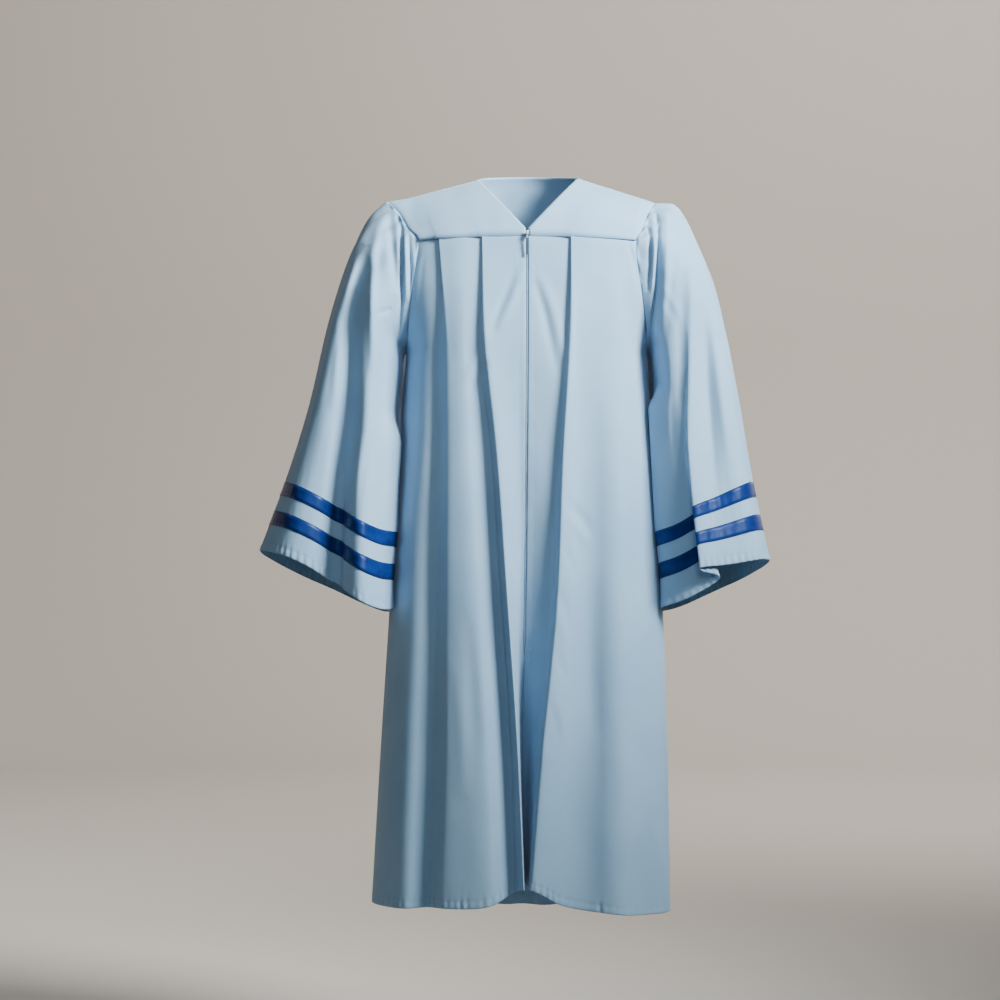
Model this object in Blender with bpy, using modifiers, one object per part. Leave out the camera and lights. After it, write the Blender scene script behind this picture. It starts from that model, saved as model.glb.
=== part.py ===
"""Long robe in its worn form, in metres, +Z up, front towards -Y.

The origin lies between the two neck-to-shoulder points, over the zip line.
Right and left are the wearer's: right is -X. Tables of shape are in millimetres.
"""

import bpy
import numpy as np

MM = 0.001
CLOTH = 0.0012
RIBBON = 0.0010
TAPE = 0.0006
GAP = 0.0003
RIGHT = -1
LEFT = 1

# Heights at which the fold tables of the panels hold their values.
HEIGHTS = (-107, -252, -444, -683, -937, -1165)
ZIP_X = (0, 0, -1, -3, -7, -4)
ZIP_OUT = (3, 0, -5, -22, -48, -65)
CREASE_RADIUS = (1.0, 4, 16, 25, 25, 25)
ZIP_END = -0.772
SEAM_Z = -0.101
YOKE_OUT = 0.0064
CORNER_OUT = 0.0026
CORNER_DROP = 0.0018
UNDERARM_FRACTION = 0.21

# Body width at the side seams, front depth and back depth, each as (height, size).
SIDE_X = {
    RIGHT: ((-285, -196), (-380, -202), (-500, -210.5), (-700, -223.5), (-937, -238.5), (-1178, -252.6)),
    LEFT: ((-285, 196), (-380, 202), (-500, 210.5), (-700, 222.5), (-937, 230.5), (-1191, 235)),
}
FRONT_DEPTH = ((-90, 116), (-107, 118), (-252, 131), (-444, 137), (-683, 145), (-937, 152), (-1165, 159))
BACK_DEPTH = ((-120, 112), (-140, 114), (-252, 128), (-444, 135), (-683, 148), (-937, 162), (-1206, 178))
SIDE_HEM = {RIGHT: -1.178, LEFT: -1.191}
FRONT_HEM = ((-253, -1178), (-150, -1172), (-55, -1166), (-2, -1142), (55, -1167), (150, -1180), (236, -1191))
BACK_HEM = ((-253, -1178), (-150, -1198), (0, -1206), (150, -1203), (236, -1191))
ROUNDNESS = 2.5

# Each fold of a front panel, from the zip to the side: x at the heights, how far
# it stands out at the heights, and whether it is creased at the yoke.
FRONT_FOLDS = {
    RIGHT: (
        ("placket", (-14, -14, -13, -12, -10, -5.6), (4.2, 1, -5, -21, -42, -50), False),
        ("strip edge", (-72, -68, -48, -31, -14, -4), (4.2, 11, 17, 21, 21, 18), True),
        ("strip return", (-72, -71, -51, -34, -18, -9), (2.1, 7, 11, 12, 11, 8), True),
        ("strip fold in", (-53, -76, -57, -41, -25, -18), (2.1, 1.5, -5, -9, -12, -14), True),
        ("strip fold", (-53, -80, -62, -46, -31, -25), (0, -1, -5, -9, -11, -12), True),
        ("inner slope", (-77, -92, -80, -65, -50, -43), (0, 2, 3, 3, 4, 4), False),
        ("inner crest", (-107, -107, -99, -85, -70, -62), (4.9, 7, 12, 15, 18, 20), False),
        ("pleat edge", (-141, -130, -127, -127, -127, -134), (4.6, 8, 12, 13, 13, 12), True),
        ("pleat return", (-141, -133, -130, -131, -132, -141), (2.2, 4, 6, 6, 5, 3), True),
        ("pleat fold in", (-123, -136, -139, -143, -150, -158), (1.5, 0, -7, -10, -13, -15), True),
        ("pleat fold", (-123, -141, -145, -150, -158, -167), (-0.7, -3, -7, -10, -12, -14), True),
        ("outer crest", (-158, -163, -171, -183, -194, -201), (0.5, 4, 9, 12, 15, 17), False),
    ),
    LEFT: (
        ("placket", (14, 14, 12, 10, 2, -1.4), (3, 0, -5, -20, -41, -50), False),
        ("panel fold", (90, 62, 48, 36, 14, 1.6), (-1, -1, -3, -8, -14, -18), True),
        ("panel fold in", (90, 66, 53, 42, 18, 2.6), (2.1, 3, 3, 2, 0, 0), True),
        ("panel return", (70.4, 67, 55, 45, 21, 4), (2.1, 8, 11, 13, 12, 9), True),
        ("panel edge", (70.4, 71, 60, 50, 26, 8), (4.2, 11, 17, 21, 22, 19), True),
        ("inner valley", (97, 83, 89, 92, 87, 83), (4.2, 3, -7, -11, -13, -13), False),
        ("crest", (133, 141, 146, 148, 151, 150), (1, 6, 12, 16, 20, 21), False),
        ("outer valley", (152, 164, 172, 180, 189, 194), (0, -2, -4, -6, -7, -8), False),
    ),
}

# Back flutes from right to left: x at the yoke seam, x at the hem, how far the hem stands out.
BACK_FLUTES = (
    (-143, -192, 12),
    (-122, -162, -11),
    (-99, -130, 17),
    (-77, -99, -13),
    (-52, -67, 14),
    (-29, -36, -15),
    (-4, -3, 19),
    (22, 31, -13),
    (47, 63, 15),
    (71, 94, -15),
    (97, 125, 18),
    (121, 156, -11),
    (143, 181, 12),
)

# Armhole of the right side, from the shoulder tip down the front and up the back.
ARMHOLE_RIGHT = (
    (-226, 0, -36),
    (-206, -35, -59),
    (-191, -64, -86),
    (-175, -86.8, -105),
    (-178, -90, -140),
    (-183, -88, -172),
    (-189, -75, -218),
    (-194, -45, -264),
    (-196, 0, -285),
    (-194, 45, -268),
    (-189, 74, -225),
    (-184, 89, -180),
    (-183, 91.8, -145),
    (-192, 76, -95),
    (-209, 42, -58),
)
FRONT_CORNER = 3
UNDERARM = 8
BACK_CORNER = 12
YOKE_STEPS = 6
PANEL_STEPS = 8
SIDE_STEPS = 9
WIDTH_STEPS = 9

# Neck edge: the straight V in front (distance to the front), and the curve round the nape.
V_FRONT = (-0.5, -36, -64, -86, -103, -117.5)
V_POINT_Z = -88
NAPE = ((-79, 0.5, 0), (-66, 35, 6), (-38, 60, 9.5), (0, 70, 11), (41, 60, 9.5), (70, 35, 6.5), (84, 0.5, 3))
SHOULDER = {
    RIGHT: ((-79, 0), (-141, -16), (-206, -32.5), (-226, -36)),
    LEFT: ((84, 3), (113, -6.5), (153, -19), (210.5, -38)),
}

# Stations of each sleeve: place along it, outer edge (x, z) and inner edge (x, z).
SLEEVE_AXES = {
    RIGHT: (
        (0.00, -228, -37, -197, -286),
        (0.10, -253, -58, -199, -293),
        (0.30, -290, -137, -202, -330),
        (0.50, -322, -240, -207, -390),
        (0.70, -356, -384, -214.5, -480),
        (0.85, -391, -495, -221, -580),
        (1.00, -432.6, -608.6, -227, -703),
    ),
    LEFT: (
        (0.00, 213, -38, 197, -286),
        (0.10, 243, -42, 199, -293),
        (0.30, 297, -155, 202, -330),
        (0.50, 321.6, -248, 207, -390),
        (0.70, 345, -372, 214.5, -480),
        (0.85, 366, -495, 220.5, -580),
        (1.00, 393.6, -626.6, 226, -703),
    ),
}
SLEEVE_PLACES = (0.0, 0.3, 0.7, 1.0)

# Corners of each sleeve section, from the outer edge over the front to the inner edge
# and back behind: place round the armhole, then (way across, depth) below the head, at
# the elbow and at the cuff, and the drop of the cuff edge.
SLEEVE_FOLDS = {
    RIGHT: (
        (0.000, (-0.02, 0), (-0.02, 0), (-0.02, 0), 0),
        (0.060, (0.00, -40), (0.00, -45), (0.01, -50), 0),
        (0.120, (0.08, -82), (0.10, -90), (0.20, -99), 4),
        (0.180, (0.20, -80), (0.26, -97), (0.42, -100), 4),
        (0.240, (0.33, -99), (0.44, -73), (0.62, -64), -4),
        (0.300, (0.45, -111), (0.54, -100), (0.68, -112), -8),
        (0.360, (0.60, -104), (0.67, -121), (0.82, -140), -18),
        (0.430, (0.74, -72), (0.86, -90), (0.98, -100), -12),
        (0.490, (0.94, -58), (0.97, -45), (1.00, -30), 0),
        (0.550, (1.00, 15), (1.00, 30), (1.00, 36), 0),
        (0.620, (0.97, 70), (0.95, 85), (0.95, 92), 0),
        (0.700, (0.82, 98), (0.76, 112), (0.76, 120), 0),
        (0.770, (0.62, 104), (0.54, 100), (0.54, 98), 0),
        (0.830, (0.42, 104), (0.34, 114), (0.34, 123), 0),
        (0.890, (0.20, 88), (0.13, 95), (0.13, 100), 0),
        (0.945, (0.03, 45), (0.00, 50), (0.00, 50), 0),
    ),
    LEFT: (
        (0.000, (-0.02, 0), (-0.02, 0), (-0.02, 0), 0),
        (0.060, (0.00, -40), (0.00, -45), (0.00, -50), 2),
        (0.120, (0.10, -75), (0.14, -90), (0.16, -93), 8),
        (0.190, (0.26, -94), (0.40, -86), (0.42, -108), 18),
        (0.250, (0.42, -104), (0.66, -119), (0.70, -132), 34),
        (0.285, (0.50, -104), (0.68, -106), (0.70, -122), 28),
        (0.320, (0.58, -103), (0.71, -98), (0.50, -108), 8),
        (0.355, (0.66, -102), (0.76, -95), (0.50, -98), 0),
        (0.400, (0.76, -97), (0.85, -91), (0.80, -88), -8),
        (0.450, (0.90, -68), (0.97, -58), (0.99, -60), -4),
        (0.510, (0.98, -15), (1.00, 0), (1.00, 0), 0),
        (0.590, (0.98, 58), (0.97, 65), (0.97, 72), 0),
        (0.690, (0.80, 98), (0.76, 106), (0.74, 114), 0),
        (0.780, (0.56, 103), (0.48, 99), (0.46, 102), 0),
        (0.860, (0.28, 96), (0.20, 104), (0.20, 112), 0),
        (0.935, (0.04, 52), (0.02, 55), (0.02, 60), 0),
    ),
}
BACK_TILT = 0.123
HEAD_BLEND = 0.30
SEAM_OFFSET = 0.0017
SAMPLES = 3
GATHER_COLUMNS = 4
GATHER_DEPTH = 0.0045
GATHER_END = 0.30

# Rows of a sleeve: places along it, then distances from the cuff edge. The ribbons lie
# between two pairs of the last ones.
SLEEVE_ROWS = (0.0, 0.03, 0.08, 0.15, 0.24, 0.34, 0.45, 0.57, 0.68, 0.77)
CUFF_ROWS = (0.127, 0.101, 0.073, 0.047, 0.0)
SLEEVE_LENGTH = 0.86
UPPER_RIBBON_ROW = len(SLEEVE_ROWS)
LOWER_RIBBON_ROW = UPPER_RIBBON_ROW + 2

SLIDER_Z = -0.0985
SLIDER_Y = -0.1265
HINGE_Y = -0.1288


def smooth_at(knots, values, places):
    """Smooth curve through the values, one for each knot, read at the places."""
    knots = np.asarray(knots, float)
    values = np.asarray(values, float)
    if knots[0] > knots[-1]:
        knots = -knots
        places = -np.asarray(places, float)
    places = np.clip(places, knots[0], knots[-1])
    slopes = np.gradient(values, knots, axis=0)
    left = np.clip(np.searchsorted(knots, places, side="right") - 1, 0, len(knots) - 2)
    span = knots[left + 1] - knots[left]
    part = (places - knots[left]) / span
    if values.ndim > 1 and np.ndim(places):
        span = span[:, None]
        part = part[:, None]
    start = (2 * part**3 - 3 * part**2 + 1) * values[left]
    end = (3 * part**2 - 2 * part**3) * values[left + 1]
    lean = (part**3 - 2 * part**2 + part) * span * slopes[left]
    return start + end + lean + (part**3 - part**2) * span * slopes[left + 1]


def size_at(table, z):
    """A size from a table of (height, size), at the height z."""
    heights, sizes = np.array(table, float).T
    return smooth_at(heights, sizes, z / MM) * MM


def rounded_path(corners, radii, samples, closed=False):
    """Points along a line of corners, each corner rounded over its own radius."""
    corners = np.asarray(corners, float)
    count = len(corners)
    places = (np.arange(samples) + 0.5) / samples
    points = []
    for index in range(count) if closed else range(1, count - 1):
        corner = corners[index]
        ends = []
        for other in (corners[index - 1], corners[(index + 1) % count]):
            length = max(np.linalg.norm(other - corner), 1e-9)
            cut = min(radii[index], 0.47 * length)
            ends.append(corner + (other - corner) * cut / length)
        for place in places:
            before = (1 - place) ** 2 * ends[0] + 2 * place * (1 - place) * corner
            points.append(before + place**2 * ends[1])
    if closed:
        return np.array(points)
    return np.array([corners[0], *points, corners[-1]])


def armhole(side):
    """Corner points of an armhole edge, from the shoulder tip down the front and round."""
    loop = np.array(ARMHOLE_RIGHT, float) * MM
    if side == LEFT:
        loop[:, 0] *= -1
        tip_shift = np.array((-0.0155, 0, -0.002))
        for index, share in ((0, 1.0), (1, 0.6), (2, 0.25), (13, 0.3), (14, 0.65)):
            loop[index] += tip_shift * share
        for index in (3, 12):
            loop[index, 0] += 0.002
    stops = (0, FRONT_CORNER, UNDERARM, BACK_CORNER, len(loop))
    steps = (YOKE_STEPS, PANEL_STEPS, PANEL_STEPS, YOKE_STEPS)
    closed = np.vstack([loop[-2:], loop, loop[:3]])
    lengths = np.linalg.norm(np.diff(closed, axis=0), axis=1)
    along = np.concatenate([[0], np.cumsum(lengths)])
    places = []
    for first, last, count in zip(stops[:-1], stops[1:], steps):
        places.extend(np.linspace(along[first + 2], along[last + 2], count + 1)[:-1])
    return smooth_at(along, closed, np.array(places))


def arm_index(part):
    """First and last index of a stretch of the armhole's points."""
    front = YOKE_STEPS
    under = front + PANEL_STEPS
    back = under + PANEL_STEPS
    return {"yoke front": (0, front), "front": (front, under), "back": (under, back), "yoke back": (back, 0)}[part]


def base_depth(x, edge_x, edge_depth, depth):
    """Depth at x of a flat oval section that its edge point cuts off."""
    cut = 1 - min(edge_depth / depth, 0.95) ** ROUNDNESS
    share = np.clip(np.abs(x / edge_x), 0, 1) ** ROUNDNESS * cut
    return depth * (1 - share) ** (1 / ROUNDNESS)


def hem_at(table, x):
    """Height of a hem at the place x."""
    xs, zs = np.array(table, float).T
    return smooth_at(xs, zs, x / MM) * MM


def panel_rows(side, part):
    """Edge point and fraction down the middle for each row of a panel, from the yoke seam."""
    loop = armhole(side)
    first, last = arm_index(part)
    edge = loop[first : last + 1]
    if part == "back":
        edge = edge[::-1]
    edge = edge.copy()
    edge[0, 2] -= CORNER_DROP
    rows = []
    for index, point in enumerate(edge):
        rows.append((point, UNDERARM_FRACTION * index / PANEL_STEPS))
    under = edge[-1, 2]
    for index in range(1, SIDE_STEPS + 1):
        share = index / SIDE_STEPS
        z = under + (SIDE_HEM[side] - under) * share
        point = np.array((size_at(SIDE_X[side], z), 0, z))
        rows.append((point, UNDERARM_FRACTION + (1 - UNDERARM_FRACTION) * share))
    return rows


def row_heights(x, edge, fraction, hem_table, top):
    """Height of each point of a row whose edge point is given."""
    weight = np.clip(np.abs(x / edge[0]), 0, 1) ** 2
    middle = top + fraction * (hem_at(hem_table, x) - top)
    return (1 - weight) * middle + weight * edge[2]


def lap_under(row, inward):
    """Top edge of a panel, a little above the yoke's edge and behind it."""
    share = (row[:, 0] / np.abs(row[:, 0]).max()) ** 2
    lap = row.copy()
    lap[:, 2] += 0.0030 - 0.0026 * share**4
    lap[:, 1] += inward * (0.0018 + 0.0012 * share)
    return lap


def front_panel(side):
    """Grid of points of a front panel, from its zip edge to its side."""
    grid = []
    for edge, fraction in panel_rows(side, "front"):
        z = SEAM_Z + fraction * (HEIGHTS[-1] * MM - SEAM_Z)
        zip_x = smooth_at(HEIGHTS, ZIP_X, z / MM) * MM
        zip_out = smooth_at(HEIGHTS, ZIP_OUT, z / MM) * MM
        half = 0.0020 if z > ZIP_END - 0.110 else 0.0010
        depth = size_at(FRONT_DEPTH, z)
        edge_depth = max(-edge[1], 0.0004)
        corners = [(zip_x + side * half, zip_out)]
        radii = [0]
        for _, xs, outs, creased in FRONT_FOLDS[side]:
            corners.append((smooth_at(HEIGHTS, xs, z / MM) * MM, smooth_at(HEIGHTS, outs, z / MM) * MM))
            radius = smooth_at(HEIGHTS, CREASE_RADIUS, z / MM) * MM
            radii.append(radius if creased else 0.03)
        for share in (0.955, 0.995):
            corners.append((edge[0] * share, 0))
            radii.append(0.03)
        corners.append((edge[0], 0))
        radii.append(0)
        corners = np.array(corners)
        corners[:, 1] = -base_depth(corners[:, 0], edge[0], edge_depth, depth) - corners[:, 1]
        row = rounded_path(corners, radii, 2)
        heights = row_heights(row[:, 0], edge, fraction, FRONT_HEM, SEAM_Z)
        grid.append(np.column_stack([row, heights]))
    return np.array([lap_under(grid[0], 1), *grid])


def back_panel():
    """Grid of points of the back panel, from its right side to its left."""
    right_rows = panel_rows(RIGHT, "back")
    left_rows = panel_rows(LEFT, "back")
    top_z = -0.138
    grid = []
    for (right, fraction), (left, _) in zip(right_rows, left_rows):
        z = top_z + fraction * (-1.19 - top_z)
        depth = size_at(BACK_DEPTH, z)
        spread = fraction**0.8
        growth = 0.12 + 0.88 * fraction**0.7
        corners = [(right[0], 0), (right[0] * 0.995, 0), (right[0] * 0.955, 0)]
        for x_top, x_hem, out in BACK_FLUTES:
            corners.append(((x_top + (x_hem - x_top) * spread) * MM, out * growth * MM))
        corners.extend([(left[0] * 0.955, 0), (left[0] * 0.995, 0), (left[0], 0)])
        corners = np.array(corners)
        for index, (x, out) in enumerate(corners):
            edge = right if x < 0 else left
            corners[index, 1] = base_depth(x, edge[0], max(edge[1], 0.0004), depth) + out
        row = rounded_path(corners, [0.03] * len(corners), 2)
        edges = np.where(row[:, :1] < 0, right, left)
        weight = np.clip(np.abs(row[:, 0] / edges[:, 0]), 0, 1) ** 2
        middle = top_z + fraction * (hem_at(BACK_HEM, row[:, 0]) - top_z)
        grid.append(np.column_stack([row, (1 - weight) * middle + weight * edges[:, 2]]))
    return np.array([lap_under(grid[0], -1), *grid])


def patch(top, bottom, left, right, reach):
    """Grid of points between four edges, with each side's bend carried inwards."""
    down = np.linspace(0, 1, len(left))[:, None, None]
    across = np.linspace(0, 1, len(top))[None, :, None]
    ruled = (1 - down) * top[None] + down * bottom[None]
    left_bend = left[:, None] - (1 - down) * left[0] - down * left[-1]
    right_bend = right[:, None] - (1 - down) * right[0] - down * right[-1]
    return ruled + left_bend * (1 - across) ** reach + right_bend * across**reach


def yoke_out(x, edge_x):
    """How far the yoke's edge stands over the pleats below it."""
    share = np.clip((np.abs(x / edge_x) - 0.87) / 0.13, 0, 1)
    return YOKE_OUT + (CORNER_OUT - YOKE_OUT) * share


def shoulder_line(side, steps, y):
    """Points from the neck to the shoulder tip."""
    xs, zs = np.array(SHOULDER[side], float).T
    tip = armhole(side)[0]
    across = np.linspace(0, 1, steps + 1)
    x = xs[0] * MM + (tip[0] - xs[0] * MM) * across
    z = smooth_at(xs * side, zs, x * side / MM) * MM
    z += (tip[2] - z[-1]) * across
    return np.column_stack([x, np.full(steps + 1, y), z])


def front_yoke(side):
    loop = armhole(side)
    first, last = arm_index("yoke front")
    outer = loop[first : last + 1].copy()
    outer[0, 1] = -0.0005
    corner = outer[-1].copy()
    outer[:, 1] -= CORNER_OUT * np.linspace(0, 1, len(outer)) ** 2
    start_x = side * 0.0021
    across = np.sin(np.linspace(0, np.pi / 2, WIDTH_STEPS + 1))
    x = start_x + (corner[0] - start_x) * across
    y = -base_depth(x, corner[0], -corner[1], 0.118) - yoke_out(x, corner[0])
    seam = np.column_stack([x, y, SEAM_Z + (corner[2] - SEAM_Z) * across**2])
    neck = np.array(SHOULDER[side][0], float) * MM
    share = np.linspace(0, 1, YOKE_STEPS)
    vee = np.column_stack([
        neck[0] + (start_x - neck[0]) * share,
        np.array(V_FRONT) * MM,
        neck[1] + (V_POINT_Z * MM - neck[1]) * share,
    ])
    inner = np.vstack([vee, seam[:1]])
    top = shoulder_line(side, WIDTH_STEPS, -0.0005)
    return patch(top, seam, inner, outer, 1.0)


def back_yoke():
    right_loop = armhole(RIGHT)
    left_loop = armhole(LEFT)
    first = arm_index("yoke back")[0]
    right = np.vstack([right_loop[:1], right_loop[:first - 1:-1]])
    left = np.vstack([left_loop[:1], left_loop[:first - 1:-1]])
    right[0, 1] = 0.0005
    left[0, 1] = 0.0005
    nape = np.array(NAPE, float) * MM
    along = np.concatenate([[0], np.cumsum(np.linalg.norm(np.diff(nape, axis=0), axis=1))])
    neck = smooth_at(along, nape, np.linspace(0, along[-1], 9))
    right_shoulder = shoulder_line(RIGHT, 6, 0.0005)[::-1]
    left_shoulder = shoulder_line(LEFT, 6, 0.0005)
    top = np.vstack([right_shoulder[:-1], neck, left_shoulder[1:]])
    turn = np.sin(np.linspace(-np.pi / 2, np.pi / 2, len(top)))
    x = np.where(turn < 0, -right[-1, 0], left[-1, 0]) * turn
    edge_x = np.where(turn < 0, right[-1, 0], left[-1, 0])
    y = base_depth(x, edge_x, right[-1, 1], 0.114) + yoke_out(x, edge_x)
    for edge in (right, left):
        edge[:, 1] += CORNER_OUT * np.linspace(0, 1, len(edge)) ** 2
    seam = np.column_stack([x, y, -0.138 + (right[-1, 2] + 0.138) * turn**2])
    return patch(top, seam, right, left, 2.2)


def on_loop(loop, places):
    """Points on the closed line of corners, by share of its length."""
    closed = np.vstack([loop, loop[:1]])
    along = np.concatenate([[0], np.cumsum(np.linalg.norm(np.diff(closed, axis=0), axis=1))])
    places = (np.asarray(places) % 1.0) * along[-1]
    return np.column_stack([np.interp(places, along, closed[:, axis]) for axis in range(3)])


def sleeve_section(side, place):
    """Points of one section of a sleeve, without the gathers."""
    axes = np.array(SLEEVE_AXES[side], float)
    outer_x, outer_z, inner_x, inner_z = smooth_at(axes[:, 0], axes[:, 1:], place) * MM
    corners = []
    for _, upper, elbow, cuff, drop in SLEEVE_FOLDS[side]:
        held = np.array([upper, upper, elbow, cuff], float)
        across, depth = smooth_at(SLEEVE_PLACES, held, place)
        depth *= MM * (0.93 + 0.07 * min(place / 0.2, 1))
        lower = max(place - 0.6, 0) / 0.4
        corners.append((
            outer_x + across * (inner_x - outer_x),
            depth,
            outer_z + across * (inner_z - outer_z) - BACK_TILT * depth * lower + drop * MM * lower**2,
        ))
    return rounded_path(corners, [0.05] * len(corners), SAMPLES, closed=True)


def sleeve(side):
    """Grid of points of a sleeve, from the armhole to the cuff edge."""
    loop = armhole(side)
    loop[:, 0] += side * SEAM_OFFSET
    rounds = [row[0] for row in SLEEVE_FOLDS[side]] + [1.0]
    columns = (np.arange(len(rounds[:-1]) * SAMPLES) - 1) / SAMPLES
    shares = np.interp(columns, np.arange(len(rounds)), rounds)
    shares[0] = (rounds[-2] + 2 * rounds[-1]) / 3 - 1
    head = on_loop(loop, shares)
    wave = np.cos(2 * np.pi * np.arange(len(columns)) / GATHER_COLUMNS)
    cap = np.clip(1.25 - 2.9 * np.abs((shares + 0.5) % 1.0 - 0.5), 0, 1)
    start = sleeve_section(side, 0.0)
    grid = [head]
    places = list(SLEEVE_ROWS[1:]) + [1 - distance / SLEEVE_LENGTH for distance in CUFF_ROWS]
    for place in places:
        section = sleeve_section(side, place)
        weight = min(place / HEAD_BLEND, 1)
        weight = weight * weight * (3 - 2 * weight)
        shifted = head + (section - start) * min(place * 12, 1)
        ring = (1 - weight) * shifted + weight * section
        outward = ring - ring.mean(axis=0)
        outward /= np.linalg.norm(outward, axis=1)[:, None]
        fade = np.sin(np.pi * min(place / GATHER_END, 1)) ** 0.6 if place < GATHER_END else 0
        ring = ring + outward * (wave * cap * fade * GATHER_DEPTH)[:, None]
        grid.append(ring)
    return np.array(grid)


def zip_path(panels, behind):
    """Points down the zip line, so far behind the edges of the two front panels."""
    line = (panels[0][:, 0] + panels[1][:, 0]) / 2
    line = np.vstack([line[0] + (0, 0.0052, 0.0070), line])
    inside = line[line[:, 2] > ZIP_END]
    below = line[len(inside)]
    share = (inside[-1, 2] - ZIP_END) / (inside[-1, 2] - below[2])
    line = np.vstack([inside, inside[-1] + (below - inside[-1]) * share])
    line[:, 1] += behind
    return line


def strip(line, near, far):
    """Grid of points of a flat band down a line, between two distances to its side."""
    return np.stack([line + (near, 0, 0), line + (far, 0, 0)], axis=1)


def material(name, colour, roughness, metallic=0.0):
    made = bpy.data.materials.new(name)
    made.use_nodes = True
    shader = made.node_tree.nodes["Principled BSDF"]
    shader.inputs["Base Color"].default_value = (*colour, 1.0)
    shader.inputs["Roughness"].default_value = roughness
    shader.inputs["Metallic"].default_value = metallic
    made.diffuse_color = (*colour, 1.0)
    return made


def finish(obj, colour, roughness, metallic=0.0):
    obj.data.materials.clear()
    obj.data.materials.append(material(obj.name + " finish", colour, roughness, metallic))
    return obj


def cloth(name, grid, thickness, closed=False):
    """A sheet of cloth through a grid of points, with its thickness to both sides."""
    rows, columns = grid.shape[:2]
    faces = []
    for row in range(rows - 1):
        for column in range(columns if closed else columns - 1):
            beside = (column + 1) % columns
            a = row * columns + column
            b = row * columns + beside
            c = a + columns
            d = b + columns
            faces.append((a, c, b))
            faces.append((b, c, d))
    mesh = bpy.data.meshes.new(name)
    mesh.from_pydata([tuple(point) for point in grid.reshape(-1, 3)], [], faces)
    mesh.update()
    obj = bpy.data.objects.new(name, mesh)
    robe.objects.link(obj)
    shell = obj.modifiers.new("Cloth thickness", "SOLIDIFY")
    shell.thickness = thickness
    shell.offset = 0.0
    return obj


def ribbon(name, panel, grid, row):
    """A ribbon over two rows of a sleeve, its points moved out from the sleeve's own."""
    columns = grid.shape[1]
    normals = np.array([vertex.normal for vertex in panel.data.vertices]).reshape(grid.shape)
    away = grid[row] - grid[row].mean(axis=0)
    direction = 1.0 if np.sum(away * normals[row]) > 0 else -1.0
    lift = direction * (CLOTH / 2 + GAP + RIBBON / 2)
    points = grid[row : row + 2] + normals[row : row + 2] * lift
    return cloth(name, points.reshape(2, columns, 3), RIBBON, closed=True)


def box(name, centre, size, collection):
    bpy.ops.mesh.primitive_cube_add(size=1.0, location=(0, 0, 0))
    obj = bpy.context.object
    obj.name = name
    for vertex in obj.data.vertices:
        vertex.co = [vertex.co[axis] * size[axis] + centre[axis] for axis in range(3)]
    for owner in list(obj.users_collection):
        owner.objects.unlink(obj)
    collection.objects.link(obj)
    return obj


def combine(obj, other, operation):
    step = obj.modifiers.new(other.name, "BOOLEAN")
    step.operation = operation
    step.solver = "EXACT"
    step.object = other


def bevel(obj, width):
    step = obj.modifiers.new("Rounded edges", "BEVEL")
    step.width = width
    step.segments = 2


def helper(name, centre, size):
    obj = box(name, centre, size, cutters)
    obj.hide_render = True
    obj.display_type = "WIRE"
    return obj


for old in list(bpy.data.objects):
    bpy.data.objects.remove(old)
robe = bpy.data.collections.new("choir_robe")
cutters = bpy.data.collections.new("cutters")
bpy.context.scene.collection.children.link(robe)
bpy.context.scene.collection.children.link(cutters)
cutters.hide_render = True

LIGHT_BLUE = (0.32, 0.55, 0.83)
ROYAL_BLUE = (0.02, 0.08, 0.55)

# Yokes and panels.
finish(cloth("yoke_front_right", front_yoke(RIGHT), CLOTH), LIGHT_BLUE, 0.85)
finish(cloth("yoke_front_left", front_yoke(LEFT), CLOTH), LIGHT_BLUE, 0.85)
finish(cloth("yoke_back", back_yoke(), CLOTH), LIGHT_BLUE, 0.85)
panels = [front_panel(RIGHT), front_panel(LEFT)]
finish(cloth("front_right", panels[0], CLOTH), LIGHT_BLUE, 0.85)
finish(cloth("front_left", panels[1], CLOTH), LIGHT_BLUE, 0.85)
finish(cloth("back", back_panel(), CLOTH), LIGHT_BLUE, 0.85)

# Sleeves and the two ribbons round each.
for side, word in ((RIGHT, "right"), (LEFT, "left")):
    points = sleeve(side)
    panel = finish(cloth("sleeve_" + word, points, CLOTH, closed=True), LIGHT_BLUE, 0.85)
    finish(ribbon(f"ribbon_{word}_upper", panel, points, UPPER_RIBBON_ROW), ROYAL_BLUE, 0.35)
    finish(ribbon(f"ribbon_{word}_lower", panel, points, LOWER_RIBBON_ROW), ROYAL_BLUE, 0.35)

# Zip: two tapes behind the panels' edges, the closed coil between the edges.
line = zip_path(panels, 0.0017)
for side, word in ((RIGHT, "right"), (LEFT, "left")):
    points = strip(line, side * 0.00015, side * 0.011)
    finish(cloth("zip_tape_" + word, points, TAPE), LIGHT_BLUE, 0.8)
coil = strip(line - (0, TAPE / 2 + 2 * GAP + 0.0007, 0), -0.0012, 0.0012)
finish(cloth("zip_coil", coil, 0.0014), LIGHT_BLUE, 0.5)

# Slider: a plate over the yoke's edges, a stem to the coil, and a bridge for the tab.
slider = box("zip_slider", (0, SLIDER_Y, SLIDER_Z), (0.0046, 0.0018, 0.0125), robe)
bevel(slider, 0.0005)
stem = helper("slider stem", (0, SLIDER_Y + 0.0024, SLIDER_Z), (0.0014, 0.0042, 0.0080))
bridge = helper("slider bridge", (0, HINGE_Y - 0.0002, SLIDER_Z), (0.0012, 0.0048, 0.0068))
window = helper("bridge window", (0, HINGE_Y, SLIDER_Z), (0.0040, 0.0028, 0.0044))
combine(bridge, window, "DIFFERENCE")
combine(slider, bridge, "UNION")
combine(slider, stem, "UNION")
finish(slider, (0.72, 0.73, 0.75), 0.25, 1.0)

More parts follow.
